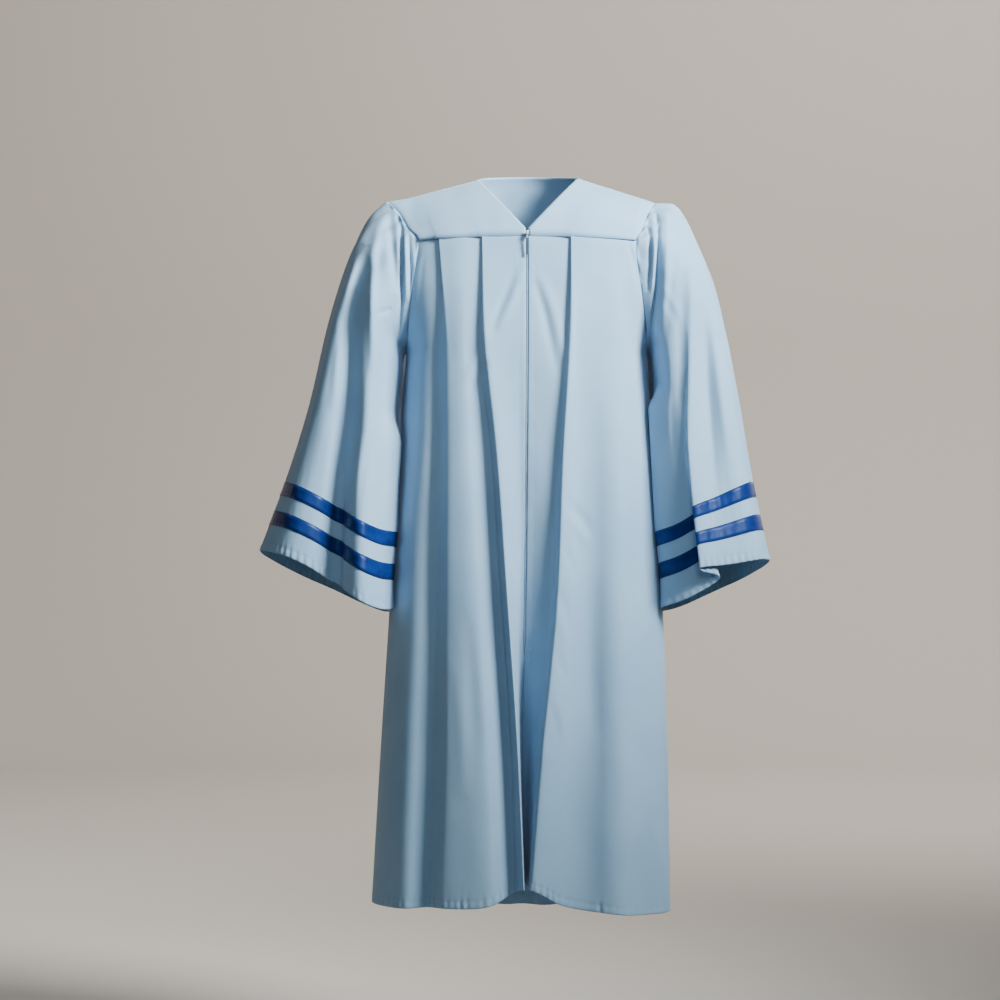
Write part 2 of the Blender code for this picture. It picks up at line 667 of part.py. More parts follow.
# Pull tab: a narrow plate that hangs from its bar in the bridge.
tab = box("zip_pull_tab", (0, HINGE_Y, SLIDER_Z - 0.0162), (0.0044, 0.0010, 0.0336), robe)
opening = helper("tab opening", (0, HINGE_Y, SLIDER_Z - 0.0033), (0.0026, 0.0030, 0.0056))
combine(tab, opening, "DIFFERENCE")
finish(tab, (0.10, 0.14, 0.20), 0.4, 0.6)
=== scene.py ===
import bpy
import numpy as np
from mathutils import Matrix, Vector


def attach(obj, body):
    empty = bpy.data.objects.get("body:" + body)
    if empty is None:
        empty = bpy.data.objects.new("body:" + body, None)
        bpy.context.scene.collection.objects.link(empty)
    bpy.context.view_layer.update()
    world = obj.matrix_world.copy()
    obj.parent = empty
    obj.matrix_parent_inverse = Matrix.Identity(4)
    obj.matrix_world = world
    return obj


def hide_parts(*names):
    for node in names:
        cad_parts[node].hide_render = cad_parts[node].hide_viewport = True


# Looks of the robe. The cloth follows the same tables of shape as the solids, with finer
# points, and adds creases, puckers, hems, stitches and the zip's teeth.
# Right and left are the wearer's: right is -X. Tables of shape are in millimetres.

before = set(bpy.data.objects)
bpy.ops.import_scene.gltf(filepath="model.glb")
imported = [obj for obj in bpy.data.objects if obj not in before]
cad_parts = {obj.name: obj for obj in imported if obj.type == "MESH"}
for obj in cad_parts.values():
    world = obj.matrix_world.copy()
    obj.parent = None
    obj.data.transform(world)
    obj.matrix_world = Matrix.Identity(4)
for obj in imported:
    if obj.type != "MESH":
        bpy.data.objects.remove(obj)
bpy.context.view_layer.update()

MM = 0.001
CLOTH = 0.0010
RIBBON = 0.0005
TAPE = 0.0006
RIGHT = -1
LEFT = 1

# Heights at which the fold tables of the panels hold their values.
HEIGHTS = (-107, -252, -444, -683, -937, -1165)
ZIP_X = (0, 0, -1, -3, -7, -4)
ZIP_OUT = (3, 0, -5, -22, -48, -65)
CREASE_RADIUS = (1.0, 4, 16, 25, 25, 25)
ZIP_END = -0.772
SEAM_Z = -0.101
BACK_SEAM_Z = -0.138
BACK_HEM_Z = -1.19
CORNER_OUT = 0.0026
CORNER_DROP = 0.0018
UNDERARM_FRACTION = 0.21

# Body width at the side seams, front depth and back depth, each as (height, size).
SIDE_X = {
    RIGHT: ((-285, -196), (-380, -202), (-500, -210.5), (-700, -223.5), (-937, -238.5), (-1178, -252.6)),
    LEFT: ((-285, 196), (-380, 202), (-500, 210.5), (-700, 222.5), (-937, 230.5), (-1191, 235)),
}
FRONT_DEPTH = ((-90, 116), (-107, 118), (-252, 131), (-444, 137), (-683, 145), (-937, 152), (-1165, 159))
BACK_DEPTH = ((-120, 112), (-140, 114), (-252, 128), (-444, 135), (-683, 148), (-937, 162), (-1206, 178))
SIDE_HEM = {RIGHT: -1.178, LEFT: -1.191}
FRONT_HEM = ((-253, -1178), (-150, -1172), (-55, -1166), (-2, -1142), (55, -1167), (150, -1180), (236, -1191))
BACK_HEM = ((-253, -1178), (-150, -1198), (0, -1206), (150, -1203), (236, -1191))
ROUNDNESS = 2.5

# Each fold of a front panel, from the zip to the side: x at the heights, how far
# it stands out at the heights, and whether it is creased at the yoke.
FRONT_FOLDS = {
    RIGHT: (
        ("placket", (-14, -14, -13, -12, -10, -5.6), (4.2, 1, -5, -21, -42, -50), False),
        ("strip edge", (-72, -68, -48, -31, -14, -4), (4.2, 11, 17, 21, 21, 18), True),
        ("strip return", (-72, -71, -51, -34, -18, -9), (2.1, 7, 11, 12, 11, 8), True),
        ("strip fold in", (-53, -76, -57, -41, -25, -18), (2.1, 1.5, -5, -9, -12, -14), True),
        ("strip fold", (-53, -80, -62, -46, -31, -25), (0, -1, -5, -9, -11, -12), True),
        ("inner slope", (-77, -92, -80, -65, -50, -43), (0, 2, 3, 3, 4, 4), False),
        ("inner crest", (-107, -107, -99, -85, -70, -62), (4.9, 7, 12, 15, 18, 20), False),
        ("pleat edge", (-141, -130, -127, -127, -127, -134), (4.6, 8, 12, 13, 13, 12), True),
        ("pleat return", (-141, -133, -130, -131, -132, -141), (2.2, 4, 6, 6, 5, 3), True),
        ("pleat fold in", (-123, -136, -139, -143, -150, -158), (1.5, 0, -7, -10, -13, -15), True),
        ("pleat fold", (-123, -141, -145, -150, -158, -167), (-0.7, -3, -7, -10, -12, -14), True),
        ("outer crest", (-158, -163, -171, -183, -194, -201), (0.5, 4, 9, 12, 15, 17), False),
    ),
    LEFT: (
        ("placket", (14, 14, 12, 10, 2, -1.4), (3, 0, -5, -20, -41, -50), False),
        ("panel fold", (90, 62, 48, 36, 14, 1.6), (-1, -1, -3, -8, -14, -18), True),
        ("panel fold in", (90, 66, 53, 42, 18, 2.6), (2.1, 3, 3, 2, 0, 0), True),
        ("panel return", (70.4, 67, 55, 45, 21, 4), (2.1, 8, 11, 13, 12, 9), True),
        ("panel edge", (70.4, 71, 60, 50, 26, 8), (4.2, 11, 17, 21, 22, 19), True),
        ("inner valley", (97, 83, 89, 92, 87, 83), (4.2, 3, -7, -11, -13, -13), False),
        ("crest", (133, 141, 146, 148, 151, 150), (1, 6, 12, 16, 20, 21), False),
        ("outer valley", (152, 164, 172, 180, 189, 194), (0, -2, -4, -6, -7, -8), False),
    ),
}

# Back flutes from right to left: x at the yoke seam, x at the hem, how far the hem stands out.
BACK_FLUTES = (
    (-143, -192, 12),
    (-122, -162, -11),
    (-99, -130, 17),
    (-77, -99, -13),
    (-52, -67, 14),
    (-29, -36, -15),
    (-4, -3, 19),
    (22, 31, -13),
    (47, 63, 15),
    (71, 94, -15),
    (97, 125, 18),
    (121, 156, -11),
    (143, 181, 12),
)

# Armhole of the right side, from the shoulder tip down the front and up the back.
ARMHOLE_RIGHT = (
    (-226, 0, -36),
    (-206, -35, -59),
    (-191, -64, -86),
    (-175, -86.8, -105),
    (-178, -90, -140),
    (-183, -88, -172),
    (-189, -75, -218),
    (-194, -45, -264),
    (-196, 0, -285),
    (-194, 45, -268),
    (-189, 74, -225),
    (-184, 89, -180),
    (-183, 91.8, -145),
    (-192, 76, -95),
    (-209, 42, -58),
)
FRONT_CORNER = 3
UNDERARM = 8
BACK_CORNER = 12
YOKE_STEPS = 30
PANEL_STEPS = 40
WIDTH_STEPS = 54

# Neck edge: the straight V in front (distance to the front), and the curve round the nape.
V_FRONT = (-0.5, -36, -64, -86, -103, -117.5)
V_POINT_Z = -88
NAPE = ((-79, 0.5, 0), (-66, 35, 6), (-38, 60, 9.5), (0, 70, 11), (41, 60, 9.5), (70, 35, 6.5), (84, 0.5, 3))
SHOULDER = {
    RIGHT: ((-79, 0), (-141, -16), (-206, -32.5), (-226, -36)),
    LEFT: ((84, 3), (113, -6.5), (153, -19), (210.5, -38)),
}

# Stations of each sleeve: place along it, outer edge (x, z) and inner edge (x, z).
SLEEVE_AXES = {
    RIGHT: (
        (0.00, -228, -37, -197, -286),
        (0.10, -253, -58, -199, -293),
        (0.30, -290, -137, -202, -330),
        (0.50, -322, -240, -207, -390),
        (0.70, -356, -384, -214.5, -480),
        (0.85, -391, -495, -221, -580),
        (1.00, -432.6, -608.6, -227, -703),
    ),
    LEFT: (
        (0.00, 213, -38, 197, -286),
        (0.10, 243, -42, 199, -293),
        (0.30, 297, -155, 202, -330),
        (0.50, 321.6, -248, 207, -390),
        (0.70, 345, -372, 214.5, -480),
        (0.85, 366, -495, 220.5, -580),
        (1.00, 393.6, -626.6, 226, -703),
    ),
}
SLEEVE_PLACES = (0.0, 0.3, 0.7, 1.0)

# Corners of each sleeve section, from the outer edge over the front to the inner edge
# and back behind: place round the armhole, then (way across, depth) at the four places
# of SLEEVE_PLACES after the head, and the drop of the cuff edge.
SLEEVE_FOLDS = {
    RIGHT: (
        (0.000, (-0.02, 0), (-0.02, 0), (-0.02, 0), 0),
        (0.060, (0.00, -40), (0.00, -45), (0.01, -50), 0),
        (0.120, (0.08, -82), (0.10, -90), (0.20, -99), 4),
        (0.180, (0.20, -80), (0.26, -97), (0.42, -100), 4),
        (0.240, (0.33, -99), (0.44, -73), (0.62, -64), -4),
        (0.300, (0.45, -111), (0.54, -100), (0.68, -112), -8),
        (0.360, (0.60, -104), (0.67, -121), (0.82, -140), -18),
        (0.430, (0.74, -72), (0.86, -90), (0.98, -100), -12),
        (0.490, (0.94, -58), (0.97, -45), (1.00, -30), 0),
        (0.550, (1.00, 15), (1.00, 30), (1.00, 36), 0),
        (0.620, (0.97, 70), (0.95, 85), (0.95, 92), 0),
        (0.700, (0.82, 98), (0.76, 112), (0.76, 120), 0),
        (0.770, (0.62, 104), (0.54, 100), (0.54, 98), 0),
        (0.830, (0.42, 104), (0.34, 114), (0.34, 123), 0),
        (0.890, (0.20, 88), (0.13, 95), (0.13, 100), 0),
        (0.945, (0.03, 45), (0.00, 50), (0.00, 50), 0),
    ),
    LEFT: (
        (0.000, (-0.02, 0), (-0.02, 0), (-0.02, 0), 0),
        (0.060, (0.00, -40), (0.00, -45), (0.00, -50), 2),
        (0.120, (0.10, -75), (0.14, -90), (0.16, -93), 8),
        (0.190, (0.26, -94), (0.40, -86), (0.42, -108), 18),
        (0.250, (0.42, -104), (0.66, -119), (0.70, -132), 34),
        (0.285, (0.50, -104), (0.68, -106), (0.70, -122), 28),
        (0.320, (0.58, -103), (0.71, -98), (0.50, -108), 8),
        (0.355, (0.66, -102), (0.76, -95), (0.50, -98), 0),
        (0.400, (0.76, -97), (0.85, -91), (0.80, -88), -8),
        (0.450, (0.90, -68), (0.97, -58), (0.99, -60), -4),
        (0.510, (0.98, -15), (1.00, 0), (1.00, 0), 0),
        (0.590, (0.98, 58), (0.97, 65), (0.97, 72), 0),
        (0.690, (0.80, 98), (0.76, 106), (0.74, 114), 0),
        (0.780, (0.56, 103), (0.48, 99), (0.46, 102), 0),
        (0.860, (0.28, 96), (0.20, 104), (0.20, 112), 0),
        (0.935, (0.04, 52), (0.02, 55), (0.02, 60), 0),
    ),
}
BACK_TILT = 0.123
HEAD_BLEND = 0.30
SEAM_OFFSET = 0.0017
SLEEVE_SAMPLES = 24
GATHER_DEPTH = 0.0045
GATHER_END = 0.30

# Places down a side seam, closer together at the hem, and the hem's stitch line above the edge.
SIDE_SHARES = (
    *np.linspace(0.0, 0.972, 84)[1:],
    0.977, 0.982, 0.986, 0.9885, 0.991, 0.9935, 0.996, 0.998, 1.0,
)
HEM_STITCH = 0.0110
PLACKET_STITCH = 0.0105
NECK_STITCH = 0.0060
CUFF_STITCH = 0.0110
PUCKER_PITCH = 0.0124
COLUMN_STEP = 0.0025
CORNER_SAMPLES = 13
SOFT_RADIUS = 0.03
SMOOTHING_COLUMNS = 19
PLEAT_REACH = 0.006

# How far an edge turns in at its seam, and over what width.
SIDE_SEAM = (0.0008, 0.0025)
CLOSED_FRONT_SEAM = (0.0012, 0.0030)
YOKE_SEAM = (0.0010, 0.0016)
ARMHOLE_SEAM = (0.0012, 0.0026)
SHOULDER_SEAM = (0.0009, 0.0022)

# Depth of the small ripples at each kind of stitched edge.
HEM_PUCKER = 0.0014
CUFF_PUCKER = 0.0013
PLACKET_PUCKER = 0.0004
NECK_PUCKER = 0.0003
RIBBON_PUCKER = 0.00025
RIBBON_RIPPLES = 50

# Bar tacks under the zip's end: their heights, threads in each, and each thread's step across.
BAR_TACKS = (-0.7635, -0.7747)
BAR_THREADS = 8
BAR_STEP = 0.0008

# Places along a sleeve, then distances from the cuff edge.
SLEEVE_LENGTH = 0.86
SLEEVE_ROWS = (*np.linspace(0.0, 0.30, 56), *np.linspace(0.31, 0.845, 40))
CUFF_ROWS = (
    0.127, 0.1205, 0.114, 0.1075, 0.101, 0.094, 0.087, 0.080, 0.073, 0.0665, 0.060, 0.0535, 0.047,
    0.040, 0.033, 0.026, 0.020, 0.016, 0.0125, 0.010, 0.0075, 0.005, 0.003, 0.0015, 0.0,
)
UPPER_RIBBON = (0.127, 0.101)
LOWER_RIBBON = (0.073, 0.047)

# Creases of the front, as (height, width, points as x and z from the front).
FRONT_CREASES = (
    (3.0, 8, ((-6, -158), (-24, -205), (-47, -252))),
    (-2.4, 7, ((-16, -150), (-40, -210), (-60, -262))),
    (2.8, 8, ((20, -160), (42, -220), (60, -300))),
    (-2.6, 7, ((12, -168), (30, -232), (48, -322))),
    (-3.4, 5, ((60, -522), (70, -534), (86, -552), (104, -572))),
    (2.4, 7, ((62, -545), (80, -568), (100, -596))),
    (-2.6, 5, ((52, -602), (66, -612), (76, -640))),
    (-2.2, 5, ((47, -668), (60, -690), (66, -716))),
    (2.0, 6, ((44, -700), (56, -724), (60, -752))),
    (-2.4, 5, ((40, -762), (52, -780), (62, -812))),
    (-2.2, 6, ((32, -842), (44, -870), (52, -910))),
    (-2.8, 12, ((38, -860), (36, -885), (34, -930))),
    (2.4, 8, ((-68, -286), (-86, -308), (-100, -330))),
    (-2.0, 7, ((-60, -300), (-78, -330), (-92, -356))),
    (2.2, 13, ((-150, -330), (-158, -420), (-168, -520))),
    (-2.4, 13, ((150, -300), (166, -380), (172, -470))),
    (2.2, 11, ((185, -330), (176, -420), (180, -520))),
    (-2.2, 11, ((-186, -330), (-178, -420), (-186, -520))),
    (-2.4, 12, ((-96, -700), (-88, -800), (-80, -930))),
    (2.2, 12, ((-112, -780), (-104, -880), (-100, -1000))),
    (-2.2, 14, ((104, -640), (100, -760), (108, -900))),
    (-4.5, 4.0, ((163, -108), (176, -146), (182, -190))),
    (3.0, 5.0, ((172, -110), (184, -156), (188, -206))),
    (-3.8, 4.0, ((-174, -110), (-184, -150), (-189, -196))),
    (2.4, 4.5, ((-166, -110), (-176, -160), (-182, -220))),
)
BACK_CREASES = (
    (4.0, 10, ((-150, -180), (-120, -260), (-98, -350))),
    (-3.2, 9, ((-138, -190), (-106, -262), (-84, -340))),
    (-3.6, 10, ((142, -186), (112, -268), (92, -360))),
    (3.0, 9, ((152, -200), (126, -270), (106, -350))),
    (3.4, 11, ((60, -400), (42, -500), (36, -620))),
    (-3.2, 11, ((-70, -480), (-52, -600), (-46, -720))),
    (3.0, 11, ((176, -330), (160, -420), (158, -540))),
    (-3.0, 11, ((-182, -340), (-168, -430), (-166, -560))),
    (3.2, 13, ((110, -700), (98, -850), (104, -1010))),
    (-3.2, 12, ((84, -760), (76, -880), (80, -1030))),
    (3.4, 13, ((-140, -740), (-128, -900), (-134, -1060))),
    (-2.8, 12, ((-112, -700), (-104, -860), (-108, -1000))),
    (-2.6, 10, ((10, -200), (16, -300), (14, -420))),
    (2.6, 10, ((-20, -180), (-30, -270), (-26, -380))),
)

# Creases of the front of each sleeve, under its gathered head.
SLEEVE_CREASES = {
    RIGHT: (
        (-10.0, 3.4, ((-210, -60), (-203, -82), (-201, -140), (-202, -204), (-208, -262))),
        (5.5, 3.6, ((-196, -82), (-195, -140), (-193, -206))),
        (-6.0, 3.0, ((-191, -96), (-187, -143), (-185, -200))),
        (-5.5, 7.0, ((-224, -52), (-217, -108), (-212, -156), (-208, -190))),
        (7.0, 8.0, ((-224, -48), (-240, -85), (-248, -130), (-249, -212), (-246, -320))),
        (-3.0, 4.5, ((-242, -226), (-230, -221), (-218, -214))),
        (-8.0, 11.0, ((-262, -110), (-272, -160), (-282, -250), (-280, -340), (-276, -430))),
        (-3.0, 9.0, ((-288, -120), (-300, -180), (-304, -240))),
        (3.0, 7.0, ((-300, -230), (-306, -300), (-312, -380))),
        (2.6, 8.0, ((-240, -300), (-250, -380), (-262, -450))),
        (-2.6, 7.0, ((-250, -420), (-262, -480), (-268, -540))),
        (-2.6, 10.0, ((-330, -360), (-348, -440), (-366, -520))),
        (2.4, 9.0, ((-310, -400), (-322, -470), (-332, -540))),
    ),
    LEFT: (
        (-11.0, 3.0, ((209, -46), (212, -78), (211, -122), (208, -178), (203, -226), (197, -287))),
        (-7.0, 3.4, ((193, -76), (199, -98), (199, -140), (195, -188))),
        (5.5, 3.6, ((204, -64), (205, -122), (201, -190))),
        (6.0, 7.0, ((224, -44), (226, -110), (222, -190), (212, -270))),
        (-2.6, 9.0, ((248, -150), (250, -230), (246, -310))),
        (3.0, 7.0, ((262, -120), (265, -210), (264, -320), (262, -420))),
        (-4.0, 8.0, ((284, -210), (291, -340), (300, -460), (304, -520))),
        (2.8, 8.0, ((300, -230), (312, -340), (324, -450))),
        (-2.2, 7.0, ((232, -330), (236, -400), (238, -470))),
        (2.2, 7.0, ((246, -360), (250, -440), (252, -520))),
    ),
}

# Creases of the back of each sleeve.
SLEEVE_BACK_CREASES = {
    RIGHT: (
        (-6.5, 4.5, ((-210, -60), (-203, -100), (-202, -160), (-206, -225))),
        (4.0, 5.0, ((-197, -84), (-196, -150), (-198, -210))),
        (-4.5, 8.0, ((-232, -56), (-244, -120), (-248, -200), (-246, -290))),
        (4.0, 9.0, ((-252, -80), (-268, -150), (-276, -240), (-276, -340))),
        (-3.0, 10.0, ((-296, -260), (-306, -340), (-312, -430))),
        (2.4, 9.0, ((-330, -360), (-344, -440), (-356, -520))),
        (-2.2, 9.0, ((-240, -380), (-250, -460), (-256, -540))),
    ),
    LEFT: (
        (-6.0, 4.5, ((206, -60), (204, -110), (203, -170), (206, -232))),
        (4.0, 5.0, ((196, -84), (196, -150), (198, -214))),
        (-4.5, 8.0, ((226, -54), (238, -120), (244, -200), (244, -300))),
        (4.0, 9.0, ((250, -90), (264, -160), (270, -250), (268, -340))),
        (-3.0, 10.0, ((288, -240), (298, -330), (302, -420))),
        (2.4, 9.0, ((316, -350), (328, -430), (336, -520))),
    ),
}

# Gathers right at each sleeve's seam: place round the armhole, height, width round it, reach down the sleeve.
GATHERS = {
    RIGHT: (
        (-0.235, 1.6, 0.013, 0.06), (-0.195, -1.8, 0.011, 0.07), (-0.158, 2.0, 0.012, 0.08),
        (-0.124, -2.0, 0.010, 0.08), (-0.094, 2.2, 0.010, 0.09), (-0.066, -2.2, 0.008, 0.08),
        (-0.040, 2.4, 0.009, 0.09), (-0.014, -2.4, 0.008, 0.10), (0.010, 2.6, 0.009, 0.08),
        (0.036, -2.6, 0.008, 0.10), (0.060, 2.8, 0.009, 0.09), (0.084, -2.6, 0.007, 0.09),
        (0.108, 2.6, 0.008, 0.10), (0.134, -2.6, 0.008, 0.09), (0.160, 2.2, 0.010, 0.08),
        (0.190, -2.0, 0.010, 0.08), (0.222, 1.8, 0.012, 0.07), (0.256, -1.4, 0.012, 0.06),
    ),
    LEFT: (
        (-0.228, 1.6, 0.013, 0.06), (-0.188, -1.8, 0.012, 0.07), (-0.150, 2.0, 0.012, 0.08),
        (-0.116, -2.0, 0.010, 0.09), (-0.086, 2.3, 0.010, 0.08), (-0.058, -2.2, 0.008, 0.09),
        (-0.030, 2.4, 0.009, 0.08), (-0.004, -2.5, 0.008, 0.09), (0.022, 2.6, 0.008, 0.10),
        (0.048, -2.6, 0.008, 0.09), (0.072, 2.6, 0.009, 0.08), (0.098, -2.7, 0.007, 0.10),
        (0.122, 2.5, 0.008, 0.09), (0.148, -2.4, 0.009, 0.08), (0.178, 2.0, 0.010, 0.08),
        (0.210, -1.8, 0.011, 0.07), (0.244, 1.5, 0.012, 0.06),
    ),
}

# Where each sleeve rests on the side of the robe: top level, length of the start, depth, middle and breadth.
SLEEVE_TOUCH = {
    RIGHT: (
        (-0.375, 0.06, 0.0190, -0.062, 0.024),
        (-0.260, 0.05, 0.0110, 0.058, 0.022),
    ),
    LEFT: (
        (-0.335, 0.045, 0.0190, -0.062, 0.024),
        (-0.260, 0.05, 0.0110, 0.058, 0.022),
    ),
}


def smooth_at(knots, values, places):
    """Smooth curve through the values, one for each knot, read at the places."""
    knots = np.asarray(knots, float)
    values = np.asarray(values, float)
    if knots[0] > knots[-1]:
        knots = -knots
        places = -np.asarray(places, float)
    places = np.clip(places, knots[0], knots[-1])
    slopes = np.gradient(values, knots, axis=0)
    left = np.clip(np.searchsorted(knots, places, side="right") - 1, 0, len(knots) - 2)
    span = knots[left + 1] - knots[left]
    part = (places - knots[left]) / span
    if values.ndim > 1 and np.ndim(places):
        span = span[:, None]
        part = part[:, None]
    start = (2 * part**3 - 3 * part**2 + 1) * values[left]
    end = (3 * part**2 - 2 * part**3) * values[left + 1]
    lean = (part**3 - 2 * part**2 + part) * span * slopes[left]
    return start + end + lean + (part**3 - part**2) * span * slopes[left + 1]


def size_at(table, z):
    """A size from a table of (height, size), at the height z."""
    heights, sizes = np.array(table, float).T
    return smooth_at(heights, sizes, z / MM) * MM


def rounded_path(corners, radii, samples, between, closed=False):
    """Points along a line of corners, each corner rounded over its own radius."""
    corners = np.asarray(corners, float)
    count = len(corners)
    places = np.linspace(0, 1, samples)[:, None]
    arcs = []
    for index in range(count) if closed else range(1, count - 1):
        corner = corners[index]
        ends = []
        for other in (corners[index - 1], corners[(index + 1) % count]):
            length = max(np.linalg.norm(other - corner), 1e-9)
            cut = min(radii[index], 0.47 * length)
            ends.append(corner + (other - corner) * cut / length)
        bend = (1 - places) ** 2 * ends[0] + 2 * places * (1 - places) * corner
        arcs.append(bend + places**2 * ends[1])
    if closed:
        return np.concatenate(arcs)
    arcs = [corners[:1], *arcs, corners[-1:]]
    points = []
    for arc, following, count in zip(arcs[:-1], arcs[1:], between):
        steps = np.arange(1, count + 1)[:, None] / (count + 1)
        points.append(arc)
        points.append(arc[-1] + (following[0] - arc[-1]) * steps)
    return np.concatenate([*points, arcs[-1]])


def straight_counts(corners, step):
    """How many points each straight run between corners holds, so that they lie a step apart."""
    lengths = np.linalg.norm(np.diff(np.asarray(corners, float), axis=0), axis=1)
    return np.clip(np.round(0.35 * lengths / step), 2, 30).astype(int)


def risen(distance, reach):
    """From 0 at an edge to 1 as far inside it as the reach."""
    return np.clip(distance / reach, 0, 1)


def eased(share):
    """A share from 0 to 1 with a soft start and end."""
    return share * share * (3 - 2 * share)


def armhole(side):
    """Points of an armhole edge, from the shoulder tip down the front and round."""
    loop = np.array(ARMHOLE_RIGHT, float) * MM
    if side == LEFT:
        loop[:, 0] *= -1
        tip_shift = np.array((-0.0155, 0, -0.002))
        for index, share in ((0, 1.0), (1, 0.6), (2, 0.25), (13, 0.3), (14, 0.65)):
            loop[index] += tip_shift * share
        for index in (3, 12):
            loop[index, 0] += 0.002
    stops = (0, FRONT_CORNER, UNDERARM, BACK_CORNER, len(loop))
    steps = (YOKE_STEPS, PANEL_STEPS, PANEL_STEPS, YOKE_STEPS)
    closed = np.vstack([loop[-2:], loop, loop[:3]])
    lengths = np.linalg.norm(np.diff(closed, axis=0), axis=1)
    along = np.concatenate([[0], np.cumsum(lengths)])
    places = []
    for first, last, count in zip(stops[:-1], stops[1:], steps):
        places.extend(np.linspace(along[first + 2], along[last + 2], count + 1)[:-1])
    return smooth_at(along, closed, np.array(places))


def arm_index(part):
    """First and last index of a stretch of the armhole's points."""
    front = YOKE_STEPS
    under = front + PANEL_STEPS
    back = under + PANEL_STEPS
    stretches = {
        "yoke front": (0, front),
        "front": (front, under),
        "back": (under, back),
        "yoke back": (back, 0),
    }
    return stretches[part]


def base_depth(x, edge_x, edge_depth, depth):
    """Depth at x of a flat oval section that its edge point cuts off."""
    cut = 1 - min(edge_depth / depth, 0.95) ** ROUNDNESS
    share = np.clip(np.abs(x / edge_x), 0, 1) ** ROUNDNESS * cut
    return depth * (1 - share) ** (1 / ROUNDNESS)


def hem_at(table, x):
    """Height of a hem at the place x."""
    xs, zs = np.array(table, float).T
    return smooth_at(xs, zs, x / MM) * MM


def panel_rows(side, part):
    """Edge point and fraction down the middle for each row of a panel, from the yoke seam."""
    loop = armhole(side)
    first, last = arm_index(part)
    edge = loop[first : last + 1]
    if part == "back":
        edge = edge[::-1]
    edge = edge.copy()
    edge[:10, 2] -= CORNER_DROP * np.linspace(1, 0, 10)
    rows = []
    for index, point in enumerate(edge):
        rows.append((point, UNDERARM_FRACTION * index / PANEL_STEPS))
    under = edge[-1, 2]
    for share in SIDE_SHARES:
        z = under + (SIDE_HEM[side] - under) * share
        point = np.array((size_at(SIDE_X[side], z), 0, z))
        rows.append((point, UNDERARM_FRACTION + (1 - UNDERARM_FRACTION) * share))
    return rows


def row_heights(x, edge, fraction, hem_table, top):
    """Height of each point of a row whose edge point is given."""
    weight = np.clip(np.abs(x / edge[0]), 0, 1) ** 2
    middle = top + fraction * (hem_at(hem_table, x) - top)
    return (1 - weight) * middle + weight * edge[2]


def lap_under(row, inward):
    """Top edge of a panel, a little above the yoke's edge and behind it."""
    share = (row[:, 0] / np.abs(row[:, 0]).max()) ** 2
    lap = row.copy()
    lap[:, 2] += 0.0030 - 0.0026 * share**4
    lap[:, 1] += inward * (0.0018 + 0.0012 * share)
    return lap


def zip_gap(z):
    """Half the gap between the two front edges: open over the zip, closed below its end."""
    share = risen(z - ZIP_END + 0.016, 0.022)
    return 0.00008 + 0.00192 * eased(share)


def front_panel(side):
    """Grid of points of a front panel, from its zip edge to its side."""
    rows = []
    for edge, fraction in panel_rows(side, "front"):
        z = SEAM_Z + fraction * (HEIGHTS[-1] * MM - SEAM_Z)
        zip_x = smooth_at(HEIGHTS, ZIP_X, z / MM) * MM
        zip_out = smooth_at(HEIGHTS, ZIP_OUT, z / MM) * MM
        depth = size_at(FRONT_DEPTH, z)
        edge_depth = max(-edge[1], 0)
        corners = [(zip_x + side * zip_gap(z), zip_out)]
        radii = [0]
        for _, xs, outs, creased in FRONT_FOLDS[side]:
            corners.append((smooth_at(HEIGHTS, xs, z / MM) * MM, smooth_at(HEIGHTS, outs, z / MM) * MM))
            radius = smooth_at(HEIGHTS, CREASE_RADIUS, z / MM) * MM
            radii.append(radius if creased else SOFT_RADIUS)
        for share in (0.955, 0.995):
            corners.append((edge[0] * share, 0))
            radii.append(SOFT_RADIUS)
        corners.append((edge[0], 0))
        radii.append(0)
        corners = np.array(corners)
        corners[:, 1] = -base_depth(corners[:, 0], edge[0], edge_depth, depth) - corners[:, 1]
        rows.append((corners, radii, edge, fraction))
    counts = straight_counts(rows[-1][0], COLUMN_STEP)
    grid = []
    for corners, radii, edge, fraction in rows:
        row = rounded_path(corners, radii, CORNER_SAMPLES, counts)
        heights = row_heights(row[:, 0], edge, fraction, FRONT_HEM, SEAM_Z)
        grid.append(np.column_stack([row, heights]))
    return np.array([lap_under(grid[0], 1), *grid])


def back_panel():
    """Grid of points of the back panel, from its right side to its left."""
    rows = []
    for (right, fraction), (left, _) in zip(panel_rows(RIGHT, "back"), panel_rows(LEFT, "back")):
        z = BACK_SEAM_Z + fraction * (BACK_HEM_Z - BACK_SEAM_Z)
        depth = size_at(BACK_DEPTH, z)
        spread = fraction**0.8
        growth = 0.12 + 0.88 * fraction**0.7
        corners = [(right[0], 0), (right[0] * 0.995, 0), (right[0] * 0.955, 0)]
        for x_top, x_hem, out in BACK_FLUTES:
            corners.append(((x_top + (x_hem - x_top) * spread) * MM, out * growth * MM))
        corners.extend([(left[0] * 0.955, 0), (left[0] * 0.995, 0), (left[0], 0)])
        corners = np.array(corners)
        for index, (x, out) in enumerate(corners):
            edge = right if x < 0 else left
            corners[index, 1] = base_depth(x, edge[0], max(edge[1], 0), depth) + out
        rows.append((corners, right, left, fraction))
    counts = straight_counts(rows[-1][0], COLUMN_STEP)
    grid = []
    for corners, right, left, fraction in rows:
        row = rounded_path(corners, [SOFT_RADIUS] * len(corners), CORNER_SAMPLES, counts)
        edges = np.where(row[:, :1] < 0, right, left)
        weight = np.clip(np.abs(row[:, 0] / edges[:, 0]), 0, 1) ** 2
        middle = BACK_SEAM_Z + fraction * (hem_at(BACK_HEM, row[:, 0]) - BACK_SEAM_Z)
        grid.append(np.column_stack([row, (1 - weight) * middle + weight * edges[:, 2]]))
    return np.array([lap_under(grid[0], -1), *grid])


